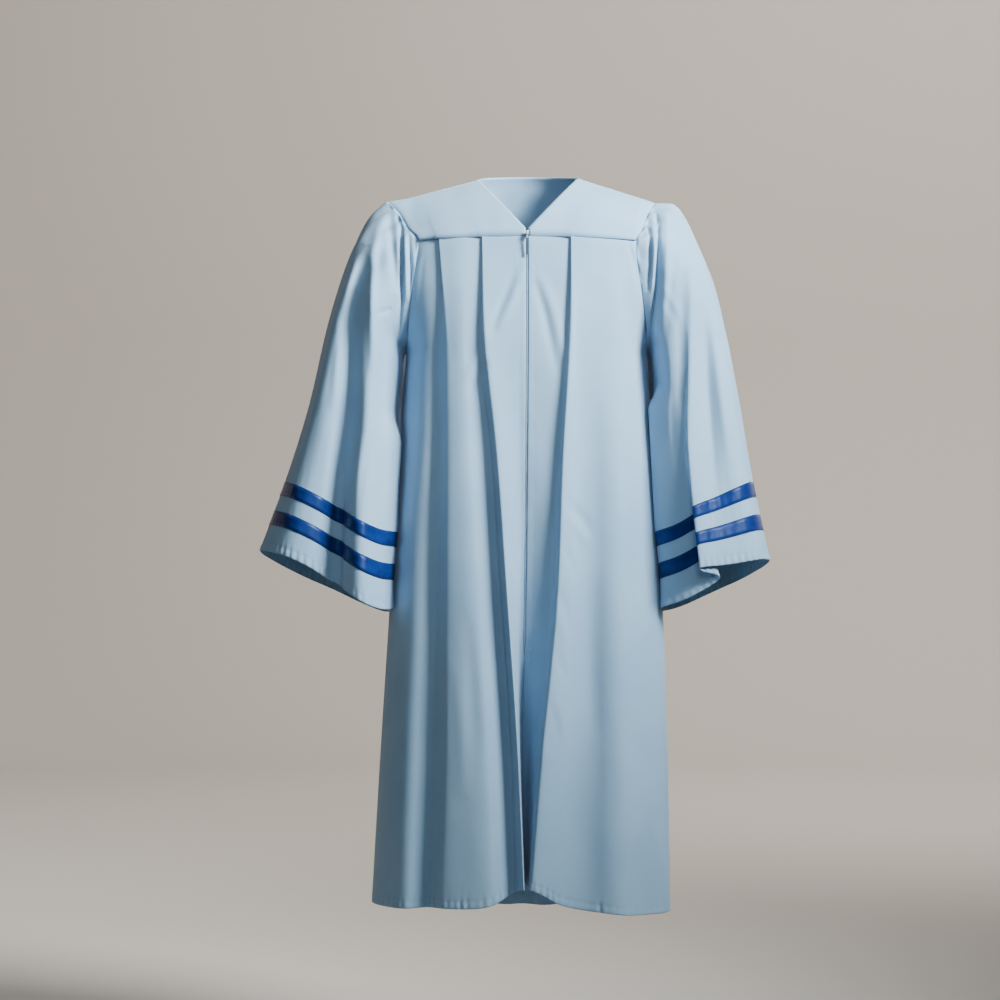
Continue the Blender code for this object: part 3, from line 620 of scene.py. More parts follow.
def patch(top, bottom, left, right, reach):
    """Grid of points between four edges, with each side's bend carried inwards."""
    down = np.linspace(0, 1, len(left))[:, None, None]
    across = np.linspace(0, 1, len(top))[None, :, None]
    ruled = (1 - down) * top[None] + down * bottom[None]
    left_bend = left[:, None] - (1 - down) * left[0] - down * left[-1]
    right_bend = right[:, None] - (1 - down) * right[0] - down * right[-1]
    return ruled + left_bend * (1 - across) ** reach + right_bend * across**reach


def over_pleats(x, panels, outward):
    """Depth of a yoke's edge at x, just outside the pleats that it holds."""
    top = np.vstack([panel[1] for panel in panels])
    reach = np.array([np.max(outward * top[np.abs(top[:, 0] - place) < PLEAT_REACH, 1]) for place in x])
    kernel = np.hanning(SMOOTHING_COLUMNS)
    padded = np.pad(reach, SMOOTHING_COLUMNS // 2, mode="edge")
    smoothed = np.convolve(padded, kernel / kernel.sum(), mode="valid")
    return outward * (np.maximum(smoothed, reach * 0.3 + smoothed * 0.7) + 0.0015)


def shoulder_line(side, steps):
    """Points from the neck to the shoulder tip."""
    xs, zs = np.array(SHOULDER[side], float).T
    tip = armhole(side)[0]
    across = np.linspace(0, 1, steps + 1)
    x = xs[0] * MM + (tip[0] - xs[0] * MM) * across
    z = smooth_at(xs * side, zs, x * side / MM) * MM
    z += (tip[2] - z[-1]) * across
    return np.column_stack([x, np.zeros(steps + 1), z])


def front_yoke(side, panels):
    """Grid of points of a front yoke: rows from the shoulder to the pleats, columns from the neck."""
    loop = armhole(side)
    first, last = arm_index("yoke front")
    outer = loop[first : last + 1].copy()
    outer[0, 1] = 0
    corner = outer[-1].copy()
    outer[:, 1] -= CORNER_OUT * np.linspace(0, 1, len(outer)) ** 2
    start_x = side * 0.0021
    across = np.sin(np.linspace(0, np.pi / 2, WIDTH_STEPS + 1))
    x = start_x + (corner[0] - start_x) * across
    y = over_pleats(x, panels, -1)
    y[-8:] += (outer[-1, 1] - y[-1]) * np.linspace(0, 1, 8) ** 2
    seam = np.column_stack([x, y, SEAM_Z + (corner[2] - SEAM_Z) * across**2])
    neck = np.array(SHOULDER[side][0], float) * MM
    share = np.linspace(0, 1, YOKE_STEPS)
    depths = smooth_at(np.linspace(0, 1, len(V_FRONT)), V_FRONT, share) * MM
    depths += 0.0005 * (1 - share)
    vee = np.column_stack([
        neck[0] + (start_x - neck[0]) * share,
        depths,
        neck[1] + (V_POINT_Z * MM - neck[1]) * share,
    ])
    inner = np.vstack([vee, seam[:1]])
    return patch(shoulder_line(side, WIDTH_STEPS), seam, inner, outer, 1.0)


def back_yoke(panel):
    """Grid of points of the back yoke: rows from the shoulders to the back, columns from right to left."""
    right_loop = armhole(RIGHT)
    left_loop = armhole(LEFT)
    first = arm_index("yoke back")[0]
    right = np.vstack([right_loop[:1], right_loop[:first - 1:-1]])
    left = np.vstack([left_loop[:1], left_loop[:first - 1:-1]])
    right[0, 1] = 0
    left[0, 1] = 0
    nape = np.array(NAPE, float) * MM
    nape[(0, -1), 1] = 0
    along = np.concatenate([[0], np.cumsum(np.linalg.norm(np.diff(nape, axis=0), axis=1))])
    neck = smooth_at(along, nape, np.linspace(0, along[-1], 49))
    top = np.vstack([shoulder_line(RIGHT, 30)[::-1][:-1], neck, shoulder_line(LEFT, 30)[1:]])
    turn = np.sin(np.linspace(-np.pi / 2, np.pi / 2, len(top)))
    x = np.where(turn < 0, -right[-1, 0], left[-1, 0]) * turn
    for edge in (right, left):
        edge[:, 1] += CORNER_OUT * np.linspace(0, 1, len(edge)) ** 2
    y = over_pleats(x, [panel], 1)
    y[:8] += (right[-1, 1] - y[0]) * np.linspace(1, 0, 8) ** 2
    y[-8:] += (left[-1, 1] - y[-1]) * np.linspace(0, 1, 8) ** 2
    seam = np.column_stack([x, y, BACK_SEAM_Z + (right[-1, 2] - BACK_SEAM_Z) * turn**2])
    return patch(top, seam, right, left, 2.2)


def on_loop(loop, places):
    """Points on the closed line of corners, by share of its length."""
    closed = np.vstack([loop, loop[:1]])
    along = np.concatenate([[0], np.cumsum(np.linalg.norm(np.diff(closed, axis=0), axis=1))])
    places = (np.asarray(places) % 1.0) * along[-1]
    return np.column_stack([np.interp(places, along, closed[:, axis]) for axis in range(3)])


def sleeve_section(side, place):
    """Points of one section of a sleeve, without the gathers."""
    axes = np.array(SLEEVE_AXES[side], float)
    outer_x, outer_z, inner_x, inner_z = smooth_at(axes[:, 0], axes[:, 1:], place) * MM
    corners = []
    for _, upper, elbow, cuff, drop in SLEEVE_FOLDS[side]:
        held = np.array([upper, upper, elbow, cuff], float)
        across, depth = smooth_at(SLEEVE_PLACES, held, place)
        depth *= MM * (0.93 + 0.07 * min(place / 0.2, 1))
        lower = max(place - 0.6, 0) / 0.4
        corners.append((
            outer_x + across * (inner_x - outer_x),
            depth,
            outer_z + across * (inner_z - outer_z) - BACK_TILT * depth * lower + drop * MM * lower**2,
        ))
    return rounded_path(corners, [0.05] * len(corners), SLEEVE_SAMPLES, 0, closed=True)


def sleeve(side):
    """Grid of points of a sleeve from inside the armhole to the cuff edge, and each row's place."""
    loop = armhole(side)
    loop[:, 0] += side * SEAM_OFFSET
    rounds = np.array([row[0] for row in SLEEVE_FOLDS[side]])
    count = len(rounds)
    turn = np.linspace(-0.47, 0.47, SLEEVE_SAMPLES)
    columns = (np.arange(count)[:, None] + turn[None]).reshape(-1)
    shares = np.interp(columns, np.arange(-1, count + 1), [rounds[-1] - 1, *rounds, 1.0])
    head = on_loop(loop, shares)
    wave = np.cos(2 * np.pi * (3 * columns + 1) / 4)
    cap = np.clip(1.25 - 2.9 * np.abs((shares + 0.5) % 1.0 - 0.5), 0, 1)
    away = head - head.mean(axis=0)
    away /= np.linalg.norm(away, axis=1)[:, None]
    grid = [head - away * 0.0022 - np.array((side * 0.0045, 0, 0)), head]
    places = [0.0, 0.0]
    start = sleeve_section(side, 0.0)
    for place in [*SLEEVE_ROWS[1:], *(1 - distance / SLEEVE_LENGTH for distance in CUFF_ROWS)]:
        section = sleeve_section(side, place)
        weight = eased(min(place / HEAD_BLEND, 1))
        shifted = head + (section - start) * min(place * 12, 1)
        ring = (1 - weight) * shifted + weight * section
        outward = ring - ring.mean(axis=0)
        outward /= np.linalg.norm(outward, axis=1)[:, None]
        fade = np.sin(np.pi * min(place / GATHER_END, 1)) ** 0.6 if place < GATHER_END else 0
        push = wave * cap * fade * GATHER_DEPTH * 0.2
        for centre, height, width, reach in GATHERS[side]:
            away = (shares - centre + 0.5) % 1.0 - 0.5
            spread = width * (1 + 1.2 * place / reach)
            rise = min(place / 0.03, 1) ** 1.5 * np.exp(-((place / reach) ** 2))
            push = push + height * MM * rise * np.exp(-((away / spread) ** 2))
        grid.append(ring + outward * push[:, None])
        places.append(place)
    return np.array(grid), np.array(places)


def normals_of(grid, outward_from, closed=False):
    """Unit normals at a grid's points, away from the given point in plan."""
    held = np.concatenate([grid[:, -2:], grid, grid[:, :2]], axis=1) if closed else grid
    across = np.gradient(held, axis=1)
    down = np.gradient(held, axis=0)
    normals = np.cross(across, down)
    if closed:
        normals = normals[:, 2:-2]
    normals /= np.maximum(np.linalg.norm(normals, axis=2), 1e-12)[..., None]
    away = grid[..., :2] - outward_from
    return normals if np.sum(normals[..., :2] * away) > 0 else -normals


def distances(grid, axis, from_end=False):
    """How far each point lies from its row's or column's first point, or last, along the cloth."""
    steps = np.linalg.norm(np.diff(grid, axis=axis), axis=2)
    zero = np.zeros_like(np.take(steps, [0], axis=axis))
    along = np.cumsum(np.concatenate([zero, steps], axis=axis), axis=axis)
    if from_end:
        return np.take(along, [-1], axis=axis) - along
    return along


def creases(grid, table):
    """Height of the listed creases at the points, as the front view shows them."""
    flat = grid[..., (0, 2)] / MM
    total = np.zeros(grid.shape[:2])
    for height, width, knots in table:
        knots = np.array(knots, float)
        runs = np.diff(knots, axis=0)
        lengths = np.linalg.norm(runs, axis=1)
        near = np.full(total.shape, 1e9)
        place = np.zeros(total.shape)
        before = 0.0
        for start, run, length in zip(knots[:-1], runs, lengths):
            share = np.clip(((flat - start) @ run) / length**2, 0, 1)
            away = np.linalg.norm(flat - (start + share[..., None] * run), axis=-1)
            closer = away < near
            near = np.where(closer, away, near)
            place = np.where(closer, (before + share * length) / lengths.sum(), place)
            before += length
        total += height * MM * np.exp(-((near / width) ** 2)) * np.sin(np.pi * place) ** 0.6
    return total


def drift(across, down, seed, size, stretch, waves=9):
    """Smooth uneven waves between about -1 and 1, longer down the cloth than across it."""
    numbers = np.random.default_rng(seed)
    total = np.zeros(np.shape(across))
    for _ in range(waves):
        turn, phase = numbers.uniform(0, 2 * np.pi, 2)
        pitch = size * numbers.uniform(0.7, 1.6)
        total += np.sin(2 * np.pi * (np.cos(turn) * across + np.sin(turn) * down / stretch) / pitch + phase)
    return total / np.sqrt(waves) * 0.8


def uneven(share, seed, waves=8):
    """A smooth value round 0 that changes along an edge and meets itself at the ends."""
    numbers = np.random.default_rng(seed)
    total = np.zeros(np.shape(share))
    for turns in range(2, 2 + waves):
        total += numbers.uniform(0.5, 1.0) * np.cos(2 * np.pi * (turns * share + numbers.uniform()))
    return total / np.sqrt(waves)


def puckers(share, length, from_edge, seed, depth, stitch):
    """Small ripples of a stitched edge, strongest between the edge and its stitch line."""
    count = round(length / PUCKER_PITCH)
    ripple = np.sin(2 * np.pi * count * share + 1.8 * uneven(share, seed))
    ripple = ripple * (0.7 + 0.4 * uneven(share, seed + 1))
    band = np.exp(-(((from_edge - 0.5 * stitch) / (0.85 * stitch)) ** 2))
    press = -0.45 * np.exp(-(((from_edge - stitch) / 0.0016) ** 2))
    roll = -0.5 * np.exp(-((from_edge / 0.0014) ** 2))
    return depth * (ripple * band + press + roll)


def seam_dip(from_edge, depth, width):
    """How far an edge turns in at its seam."""
    return -depth * np.exp(-((from_edge / width) ** 2))


def line_at(grid, normals, axis, distance, lift, from_end=False):
    """The line on the cloth at a distance from its edge, lifted off the surface."""
    along = distances(grid, axis, from_end)
    if axis == 0:
        grid = grid.transpose(1, 0, 2)
        normals = normals.transpose(1, 0, 2)
        along = along.T
    if from_end:
        grid = grid[:, ::-1]
        normals = normals[:, ::-1]
        along = along[:, ::-1]
    points = []
    for row, facing, places in zip(grid, normals, along):
        point = [np.interp(distance, places, row[:, part]) for part in range(3)]
        normal = np.array([np.interp(distance, places, facing[:, part]) for part in range(3)])
        points.append(np.array(point) + normal / max(np.linalg.norm(normal), 1e-9) * lift)
    return np.array(points)


def node(tree, kind, inputs=(), **settings):
    """A node with its settings, its inputs linked from sockets or set to values."""
    made = tree.nodes.new(kind)
    for name, value in settings.items():
        setattr(made, name, value)
    for key, value in dict(inputs).items():
        if isinstance(value, bpy.types.NodeSocket):
            tree.links.new(value, made.inputs[key])
        else:
            made.inputs[key].default_value = value
    return made


def blank_material(name, settings):
    """A material with a Principled shader, its tree and the shader."""
    made = bpy.data.materials.new(name)
    made.use_nodes = True
    tree = made.node_tree
    shader = tree.nodes["Principled BSDF"]
    for key, value in settings.items():
        shader.inputs[key].default_value = value
    return made, tree, shader


def mixed(tree, share, first, second):
    """A colour between two colours, by a share. The first may be a socket."""
    if not isinstance(first, bpy.types.NodeSocket):
        first = (*first, 1.0)
    return node(tree, "ShaderNodeMix", {0: share, 6: first, 7: (*second, 1.0)}, data_type="RGBA").outputs[2]


def ramp(tree, value, low, high):
    """A value stretched from between low and high to between 0 and 1."""
    made = node(tree, "ShaderNodeMapRange", {0: value, 1: low, 2: high})
    return made.outputs[0]


def clouds(tree, vector, scale, detail):
    """A cloudy pattern at that scale."""
    held = {"Vector": vector, "Scale": scale, "Detail": detail}
    return node(tree, "ShaderNodeTexNoise", held).outputs[0]


def stretched(tree, vector, scales, detail):
    """A cloudy pattern with its own scale along each axis."""
    held = node(tree, "ShaderNodeMapping", {0: vector, 3: scales})
    return clouds(tree, held.outputs[0], 1.0, detail)


def threads(tree, coordinate, pitch_across, pitch_down):
    """Ridges of warp and weft that pass over each other, from 0 to 1."""
    parts = node(tree, "ShaderNodeSeparateXYZ", {0: coordinate})
    waves = []
    for socket, pitch in ((parts.outputs[0], pitch_across), (parts.outputs[1], pitch_down)):
        turns = node(tree, "ShaderNodeMath", {0: socket, 1: 2 * np.pi / pitch}, operation="MULTIPLY")
        waves.append(node(tree, "ShaderNodeMath", {0: turns.outputs[0]}, operation="SINE").outputs[0])
    crossed = node(tree, "ShaderNodeMath", {0: waves[0], 1: waves[1]}, operation="MULTIPLY")
    return ramp(tree, crossed.outputs[0], -1.0, 1.0)


def bumped(tree, shader, layers):
    """Stacks bump layers of (height socket, strength, distance) on the shader."""
    normal = None
    for height, strength, distance in layers:
        inputs = {"Height": height, "Strength": strength, "Distance": distance}
        if normal is not None:
            inputs["Normal"] = normal
        normal = node(tree, "ShaderNodeBump", inputs).outputs["Normal"]
    tree.links.new(normal, shader.inputs["Normal"])


def cloth_material(name, colour, dark, light, roughness):
    """Matte brushed polyester: fine weave, faint slubs, soft colour variation."""
    made, tree, shader = blank_material(name, {
        "Roughness": roughness,
        "Specular IOR Level": 0.22,
        "Sheen Weight": 0.18,
        "Sheen Roughness": 0.45,
    })
    place = node(tree, "ShaderNodeTexCoord")
    cloth_uv = place.outputs["UV"]
    weave = threads(tree, cloth_uv, 0.00056, 0.00050)
    slubs = stretched(tree, cloth_uv, (2600.0, 90.0, 1.0), 2.0)
    weft = stretched(tree, cloth_uv, (80.0, 2400.0, 1.0), 2.0)
    broad = clouds(tree, place.outputs["Object"], 7.0, 3.0)
    fuzz = clouds(tree, place.outputs["Object"], 900.0, 3.0)
    colour_now = mixed(tree, ramp(tree, broad, 0.35, 0.70), colour, light)
    colour_now = mixed(tree, ramp(tree, slubs, 0.52, 1.15), colour_now, light)
    colour_now = mixed(tree, ramp(tree, weft, 0.50, 1.20), colour_now, dark)
    colour_now = mixed(tree, ramp(tree, fuzz, 0.45, 1.35), colour_now, dark)
    tree.links.new(colour_now, shader.inputs["Base Color"])
    rough = node(tree, "ShaderNodeMapRange", {0: fuzz, 3: roughness - 0.06, 4: roughness + 0.06})
    tree.links.new(rough.outputs[0], shader.inputs["Roughness"])
    soft = clouds(tree, place.outputs["Object"], 38.0, 2.0)
    bumped(tree, shader, (
        (soft, 0.30, 0.0012),
        (slubs, 0.35, 0.00008),
        (weft, 0.35, 0.00008),
        (weave, 0.45, 0.00009),
    ))
    return made


def satin_material(name, colour, dark, light):
    """Satin ribbon: fine crosswise ribs, bright along its length, woven edges."""
    made, tree, shader = blank_material(name, {
        "Roughness": 0.36,
        "Specular IOR Level": 0.30,
        "Specular Tint": (0.42, 0.62, 1.0, 1.0),
        "Anisotropic": 0.75,
        "Anisotropic Rotation": 0.25,
        "Sheen Weight": 0.02,
    })
    place = node(tree, "ShaderNodeTexCoord")
    length = node(tree, "ShaderNodeTangent", {}, direction_type="UV_MAP")
    tree.links.new(length.outputs[0], shader.inputs["Tangent"])
    parts = node(tree, "ShaderNodeSeparateXYZ", {0: place.outputs["UV"]})
    turns = node(tree, "ShaderNodeMath", {0: parts.outputs[0], 1: 2 * np.pi / 0.00045}, operation="MULTIPLY")
    ribs = node(tree, "ShaderNodeMath", {0: turns.outputs[0]}, operation="SINE")
    streaks = stretched(tree, place.outputs["UV"], (60.0, 900.0, 1.0), 3.0)
    broad = stretched(tree, place.outputs["UV"], (22.0, 40.0, 1.0), 2.0)
    middle = node(tree, "ShaderNodeMath", {0: parts.outputs[1], 1: 0.013}, operation="SUBTRACT")
    away = node(tree, "ShaderNodeMath", {0: middle.outputs[0]}, operation="ABSOLUTE")
    selvage = ramp(tree, away.outputs[0], 0.0113, 0.0122)
    colour_now = mixed(tree, ramp(tree, broad, 0.40, 0.75), colour, light)
    colour_now = mixed(tree, ramp(tree, streaks, 0.45, 1.0), colour_now, dark)
    colour_now = mixed(tree, selvage, colour_now, dark)
    tree.links.new(colour_now, shader.inputs["Base Color"])
    rough = node(tree, "ShaderNodeMapRange", {0: streaks, 1: 0.3, 2: 0.7, 3: 0.30, 4: 0.44})
    tree.links.new(rough.outputs[0], shader.inputs["Roughness"])
    bumped(tree, shader, (
        (broad, 0.35, 0.0016),
        (streaks, 0.30, 0.00012),
        (ribs.outputs[0], 0.25, 0.00003),
        (selvage, 0.30, 0.00020),
    ))
    return made


def thread_material(name, colour, dark):
    """Twisted sewing thread."""
    made, tree, shader = blank_material(name, {
        "Roughness": 0.55, "Specular IOR Level": 0.4, "Sheen Weight": 0.2,
    })
    place = node(tree, "ShaderNodeTexCoord")
    twist_map = node(tree, "ShaderNodeMapping", {0: place.outputs["Object"], 2: (0.5, 0.5, 0.7)})
    twist = node(
        tree, "ShaderNodeTexWave", {"Vector": twist_map.outputs[0], "Scale": 700.0, "Distortion": 1.0},
    )
    shade = clouds(tree, place.outputs["Object"], 160.0, 2.0)
    colour_now = mixed(tree, ramp(tree, shade, 0.40, 0.90), colour, dark)
    colour_now = mixed(tree, ramp(tree, twist.outputs[1], 0.35, 1.60), colour_now, dark)
    tree.links.new(colour_now, shader.inputs["Base Color"])
    bumped(tree, shader, ((twist.outputs[1], 0.5, 0.00008),))
    return made


def tape_material(name, colour, dark):
    """Woven zip tape: a fine crossed weave, a little uneven."""
    made, tree, shader = blank_material(name, {
        "Roughness": 0.8, "Specular IOR Level": 0.25, "Sheen Weight": 0.12,
    })
    place = node(tree, "ShaderNodeTexCoord")
    weave = threads(tree, place.outputs["UV"], 0.0011, 0.0008)
    shade = clouds(tree, place.outputs["Object"], 240.0, 3.0)
    colour_now = mixed(tree, weave, dark, colour)
    colour_now = mixed(tree, ramp(tree, shade, 0.5, 1.2), colour_now, dark)
    tree.links.new(colour_now, shader.inputs["Base Color"])
    bumped(tree, shader, ((shade, 0.2, 0.0001), (weave, 0.6, 0.00015)))
    return made


def nylon_material(name, colour, dark):
    """Moulded nylon zip coil."""
    made, tree, shader = blank_material(name, {
        "Roughness": 0.38, "Specular IOR Level": 0.5, "Subsurface Weight": 0.08, "Subsurface Scale": 0.001,
    })
    place = node(tree, "ShaderNodeTexCoord")
    shade = clouds(tree, place.outputs["Object"], 300.0, 2.0)
    tree.links.new(mixed(tree, ramp(tree, shade, 0.35, 0.8), colour, dark), shader.inputs["Base Color"])
    bumped(tree, shader, ((shade, 0.25, 0.00006),))
    return made


def metal_material(name, colour, worn, roughness):
    """Plated metal with fine tumbling marks and lighter worn patches here and there."""
    made, tree, shader = blank_material(name, {"Metallic": 1.0, "Roughness": roughness})
    place = node(tree, "ShaderNodeTexCoord")
    marks = clouds(tree, place.outputs["Object"], 1600.0, 4.0)
    wear = clouds(tree, place.outputs["Object"], 330.0, 5.0)
    tree.links.new(mixed(tree, ramp(tree, wear, 0.52, 0.72), colour, worn), shader.inputs["Base Color"])
    rough = node(tree, "ShaderNodeMapRange", {
        0: marks, 1: 0.3, 2: 0.7, 3: roughness - 0.08, 4: roughness + 0.12,
    })
    tree.links.new(rough.outputs[0], shader.inputs["Roughness"])
    bumped(tree, shader, ((marks, 0.3, 0.00004), (wear, 0.2, 0.00008)))
    return made


def painted_shade_tab_material(name, colour, light):
    """Dark coated metal, a little uneven; its dark colour is painted shade for the shadow that the pull tab
    hangs in below the slider.
    """
    made, tree, shader = blank_material(name, {
        "Metallic": 0.35, "Roughness": 0.32, "Coat Weight": 0.4, "Coat Roughness": 0.2,
    })
    place = node(tree, "ShaderNodeTexCoord")
    wear = clouds(tree, place.outputs["Object"], 420.0, 5.0)
    tree.links.new(mixed(tree, ramp(tree, wear, 0.60, 0.78), colour, light), shader.inputs["Base Color"])
    bumped(tree, shader, ((wear, 0.2, 0.00006),))
    return made


def repeat_tree(name, segments):
    """Geometry Nodes that lay small rounded pieces along lines, such as stitches and zip teeth."""
    tree = bpy.data.node_groups.new(name, "GeometryNodeTree")
    tree.is_modifier = True
    ends = tree.interface
    ends.new_socket("Geometry", in_out="INPUT", socket_type="NodeSocketGeometry")
    for socket, kind in (
        ("Spacing", "NodeSocketFloat"),
        ("Size", "NodeSocketVector"),
        ("Unevenness", "NodeSocketFloat"),
        ("Seed", "NodeSocketInt"),
        ("Finish", "NodeSocketMaterial"),
    ):
        ends.new_socket(socket, in_out="INPUT", socket_type=kind)
    ends.new_socket("Geometry", in_out="OUTPUT", socket_type="NodeSocketGeometry")
    given = tree.nodes.new("NodeGroupInput").outputs
    line = node(tree, "GeometryNodeMeshToCurve", {0: given["Geometry"]})
    stops = node(
        tree, "GeometryNodeResampleCurve",
        {"Curve": line.outputs[0], "Length": given["Spacing"]}, mode="LENGTH",
    )
    piece = node(tree, "GeometryNodeMeshUVSphere", {"Segments": segments, "Rings": 3, "Radius": 0.5})
    facing = node(tree, "GeometryNodeInputTangent")
    turned = node(tree, "FunctionNodeAlignRotationToVector", {"Vector": facing.outputs[0]}, axis="Z")
    smaller = node(tree, "ShaderNodeMath", {0: 1.0, 1: given["Unevenness"]}, operation="SUBTRACT")
    larger = node(tree, "ShaderNodeMath", {0: 1.0, 1: given["Unevenness"]}, operation="ADD")
    uneven = node(tree, "FunctionNodeRandomValue", {"Seed": given["Seed"]}, data_type="FLOAT")
    tree.links.new(smaller.outputs[0], uneven.inputs[2])
    tree.links.new(larger.outputs[0], uneven.inputs[3])
    size = node(tree, "ShaderNodeVectorMath", {0: given["Size"]}, operation="SCALE")
    tree.links.new(uneven.outputs[1], size.inputs["Scale"])
    laid = node(tree, "GeometryNodeInstanceOnPoints", {
        "Points": stops.outputs[0],
        "Instance": piece.outputs["Mesh"],
        "Rotation": turned.outputs[0],
        "Scale": size.outputs[0],
    })
    real = node(tree, "GeometryNodeRealizeInstances", {0: laid.outputs[0]})
    smooth = node(tree, "GeometryNodeSetShadeSmooth", {0: real.outputs[0]})
    finished = node(tree, "GeometryNodeSetMaterial", {0: smooth.outputs[0], "Material": given["Finish"]})
    out = tree.nodes.new("NodeGroupOutput")
    tree.links.new(finished.outputs[0], out.inputs[0])
    return tree


def laid_along(name, lines, tree, spacing, size, unevenness, seed, finish):
    """A mesh of small pieces laid along lines of points."""
    points = np.concatenate(lines)
    edges = []
    start = 0
    for line in lines:
        edges.extend((start + index, start + index + 1) for index in range(len(line) - 1))
        start += len(line)
    mesh = bpy.data.meshes.new(name + " lines")
    mesh.from_pydata([tuple(point) for point in points], edges, [])
    guide = bpy.data.objects.new(name + " lines", mesh)
    bpy.context.scene.collection.objects.link(guide)
    step = guide.modifiers.new("Laid pieces", "NODES")
    step.node_group = tree
    values = {"Spacing": spacing, "Size": size, "Unevenness": unevenness, "Seed": seed, "Finish": finish}
    for item in tree.interface.items_tree:
        if item.in_out == "INPUT" and item.name in values:
            step[item.identifier] = values[item.name]
    bpy.context.view_layer.update()
    graph = bpy.context.evaluated_depsgraph_get()
    made = bpy.data.objects.new(name, bpy.data.meshes.new_from_object(guide.evaluated_get(graph)))
    made.data.name = name
    bpy.data.objects.remove(guide)
    bpy.context.scene.collection.objects.link(made)
    return made


def cloth_piece(name, grid, thickness, finish, closed=False):
    """A thin shell of cloth through a grid of points, with its own lengths as its UV map."""
    rows, columns = grid.shape[:2]
    last = columns if closed else columns - 1
    held = np.concatenate([grid, grid[:, :1]], axis=1) if closed else grid
    across = distances(held, 1)
    middle = across.shape[1] // 2
    down = distances(held, 0)
    if not closed:
        across = across - across[:, middle : middle + 1]
    faces = []
    corners = []
    for row in range(rows - 1):
        for column in range(last):
            beside = (column + 1) % columns
            a = row * columns + column
            b = row * columns + beside
            faces.append((a, a + columns, b + columns, b))
            corners.extend(((row, column), (row + 1, column), (row + 1, column + 1), (row, column + 1)))
    mesh = bpy.data.meshes.new(name)
    mesh.from_pydata([tuple(point) for point in grid.reshape(-1, 3)], [], faces)
    lengths = mesh.uv_layers.new(name="Cloth")
    corners = np.array(corners)
    values = np.column_stack([
        across[corners[:, 0], corners[:, 1]],
        down[corners[:, 0], corners[:, 1]],
    ])
    lengths.data.foreach_set("uv", values.reshape(-1))
    mesh.update()
    made = bpy.data.objects.new(name, mesh)
    bpy.context.scene.collection.objects.link(made)
    shell = made.modifiers.new("Cloth thickness", "SOLIDIFY")
    shell.thickness = thickness
    shell.offset = 0.0
    mesh.materials.append(finish)
    mesh.shade_smooth()
    return made


def dressed_front(side, grid):
    """A front panel with its creases, hem and placket edge."""
    across = distances(grid, 1)
    to_side = distances(grid, 1, from_end=True)
    down = distances(grid, 0)
    to_hem = distances(grid, 0, from_end=True)
    calm = risen(down, 0.06) * risen(to_side, 0.05)
    push = creases(grid, FRONT_CREASES) * risen(to_side, 0.02)
    push += 0.0007 * calm * drift(grid[..., 0], grid[..., 2], 20 + side, 0.055, 5.0)
    share = across / across[:, -1:]
    hem = puckers(share, across[-1, -1], to_hem, 30 + side, HEM_PUCKER, HEM_STITCH)
    push += hem * risen(to_side, 0.012)
    zipped = risen(grid[..., 2] - ZIP_END + 0.02, 0.02)
    beside = puckers(down / down[-1:], down[-1, 0], across, 34 + side, PLACKET_PUCKER, PLACKET_STITCH)
    push += beside * zipped * np.clip(1 - (across - 0.02) / 0.01, 0, 1)
    push += seam_dip(across, *CLOSED_FRONT_SEAM) * (1 - zipped)
    made = grid.copy()
    made[..., 1] -= push
    made[..., 0] += side * seam_dip(to_side, *SIDE_SEAM)
    return made


def dressed_back(grid):
    """The back panel with its creases and hem."""
    across = distances(grid, 1)
    to_left = distances(grid, 1, from_end=True)
    down = distances(grid, 0)
    to_hem = distances(grid, 0, from_end=True)
    near = np.minimum(across, to_left)
    push = creases(grid, BACK_CREASES) * risen(near, 0.02)
    push += 0.0008 * risen(down, 0.06) * risen(near, 0.05) * drift(
        grid[..., 0], grid[..., 2], 40, 0.06, 5.0,
    )
    share = across / across[:, -1:]
    hem = puckers(share, across[-1, -1], to_hem, 41, HEM_PUCKER, HEM_STITCH)
    push += hem * risen(near, 0.012)
    made = grid.copy()
    made[..., 1] += push
    made[..., 0] -= seam_dip(across, *SIDE_SEAM)
    made[..., 0] += seam_dip(to_left, *SIDE_SEAM)
    return made


def dressed_yoke(grid, seed, neck_columns=None):
    """A yoke with soft unevenness, its edges turned in and its neck edge stitched."""
    normals = normals_of(grid, (0, 0))
    from_top = distances(grid, 0)
    to_seam = distances(grid, 0, from_end=True)
    from_first = distances(grid, 1)
    to_last = distances(grid, 1, from_end=True)
    near = np.minimum(np.minimum(from_top, to_seam), np.minimum(from_first, to_last))
    waves = drift(grid[..., 0], grid[..., 2] - grid[..., 1], seed, 0.05, 1.6)
    push = 0.0007 * risen(near, 0.02) * waves
    push += seam_dip(to_seam, *YOKE_SEAM)
    push += seam_dip(to_last, *ARMHOLE_SEAM)
    if neck_columns is None:
        push += seam_dip(from_top, *SHOULDER_SEAM)
        share = from_top / from_top[-1:]
        neck_edge = puckers(share, from_top[-1, 0], from_first, seed + 1, NECK_PUCKER, NECK_STITCH)
        push += neck_edge * np.clip(1 - (from_first - 0.012) / 0.006, 0, 1)
    else:
        first, last = neck_columns
        columns = np.arange(grid.shape[1])
        at_neck = ((columns >= first) & (columns <= last)).astype(float)[None]
        push += seam_dip(from_top, *SHOULDER_SEAM) * (1 - at_neck)
        push += seam_dip(from_first, *ARMHOLE_SEAM)
        share = from_first / from_first[:, -1:]
        neck_edge = puckers(share, from_first[0, -1], from_top, seed + 1, NECK_PUCKER, NECK_STITCH)
        push += neck_edge * at_neck * np.clip(1 - (from_top - 0.012) / 0.006, 0, 1)
    return grid + normals * push[..., None]


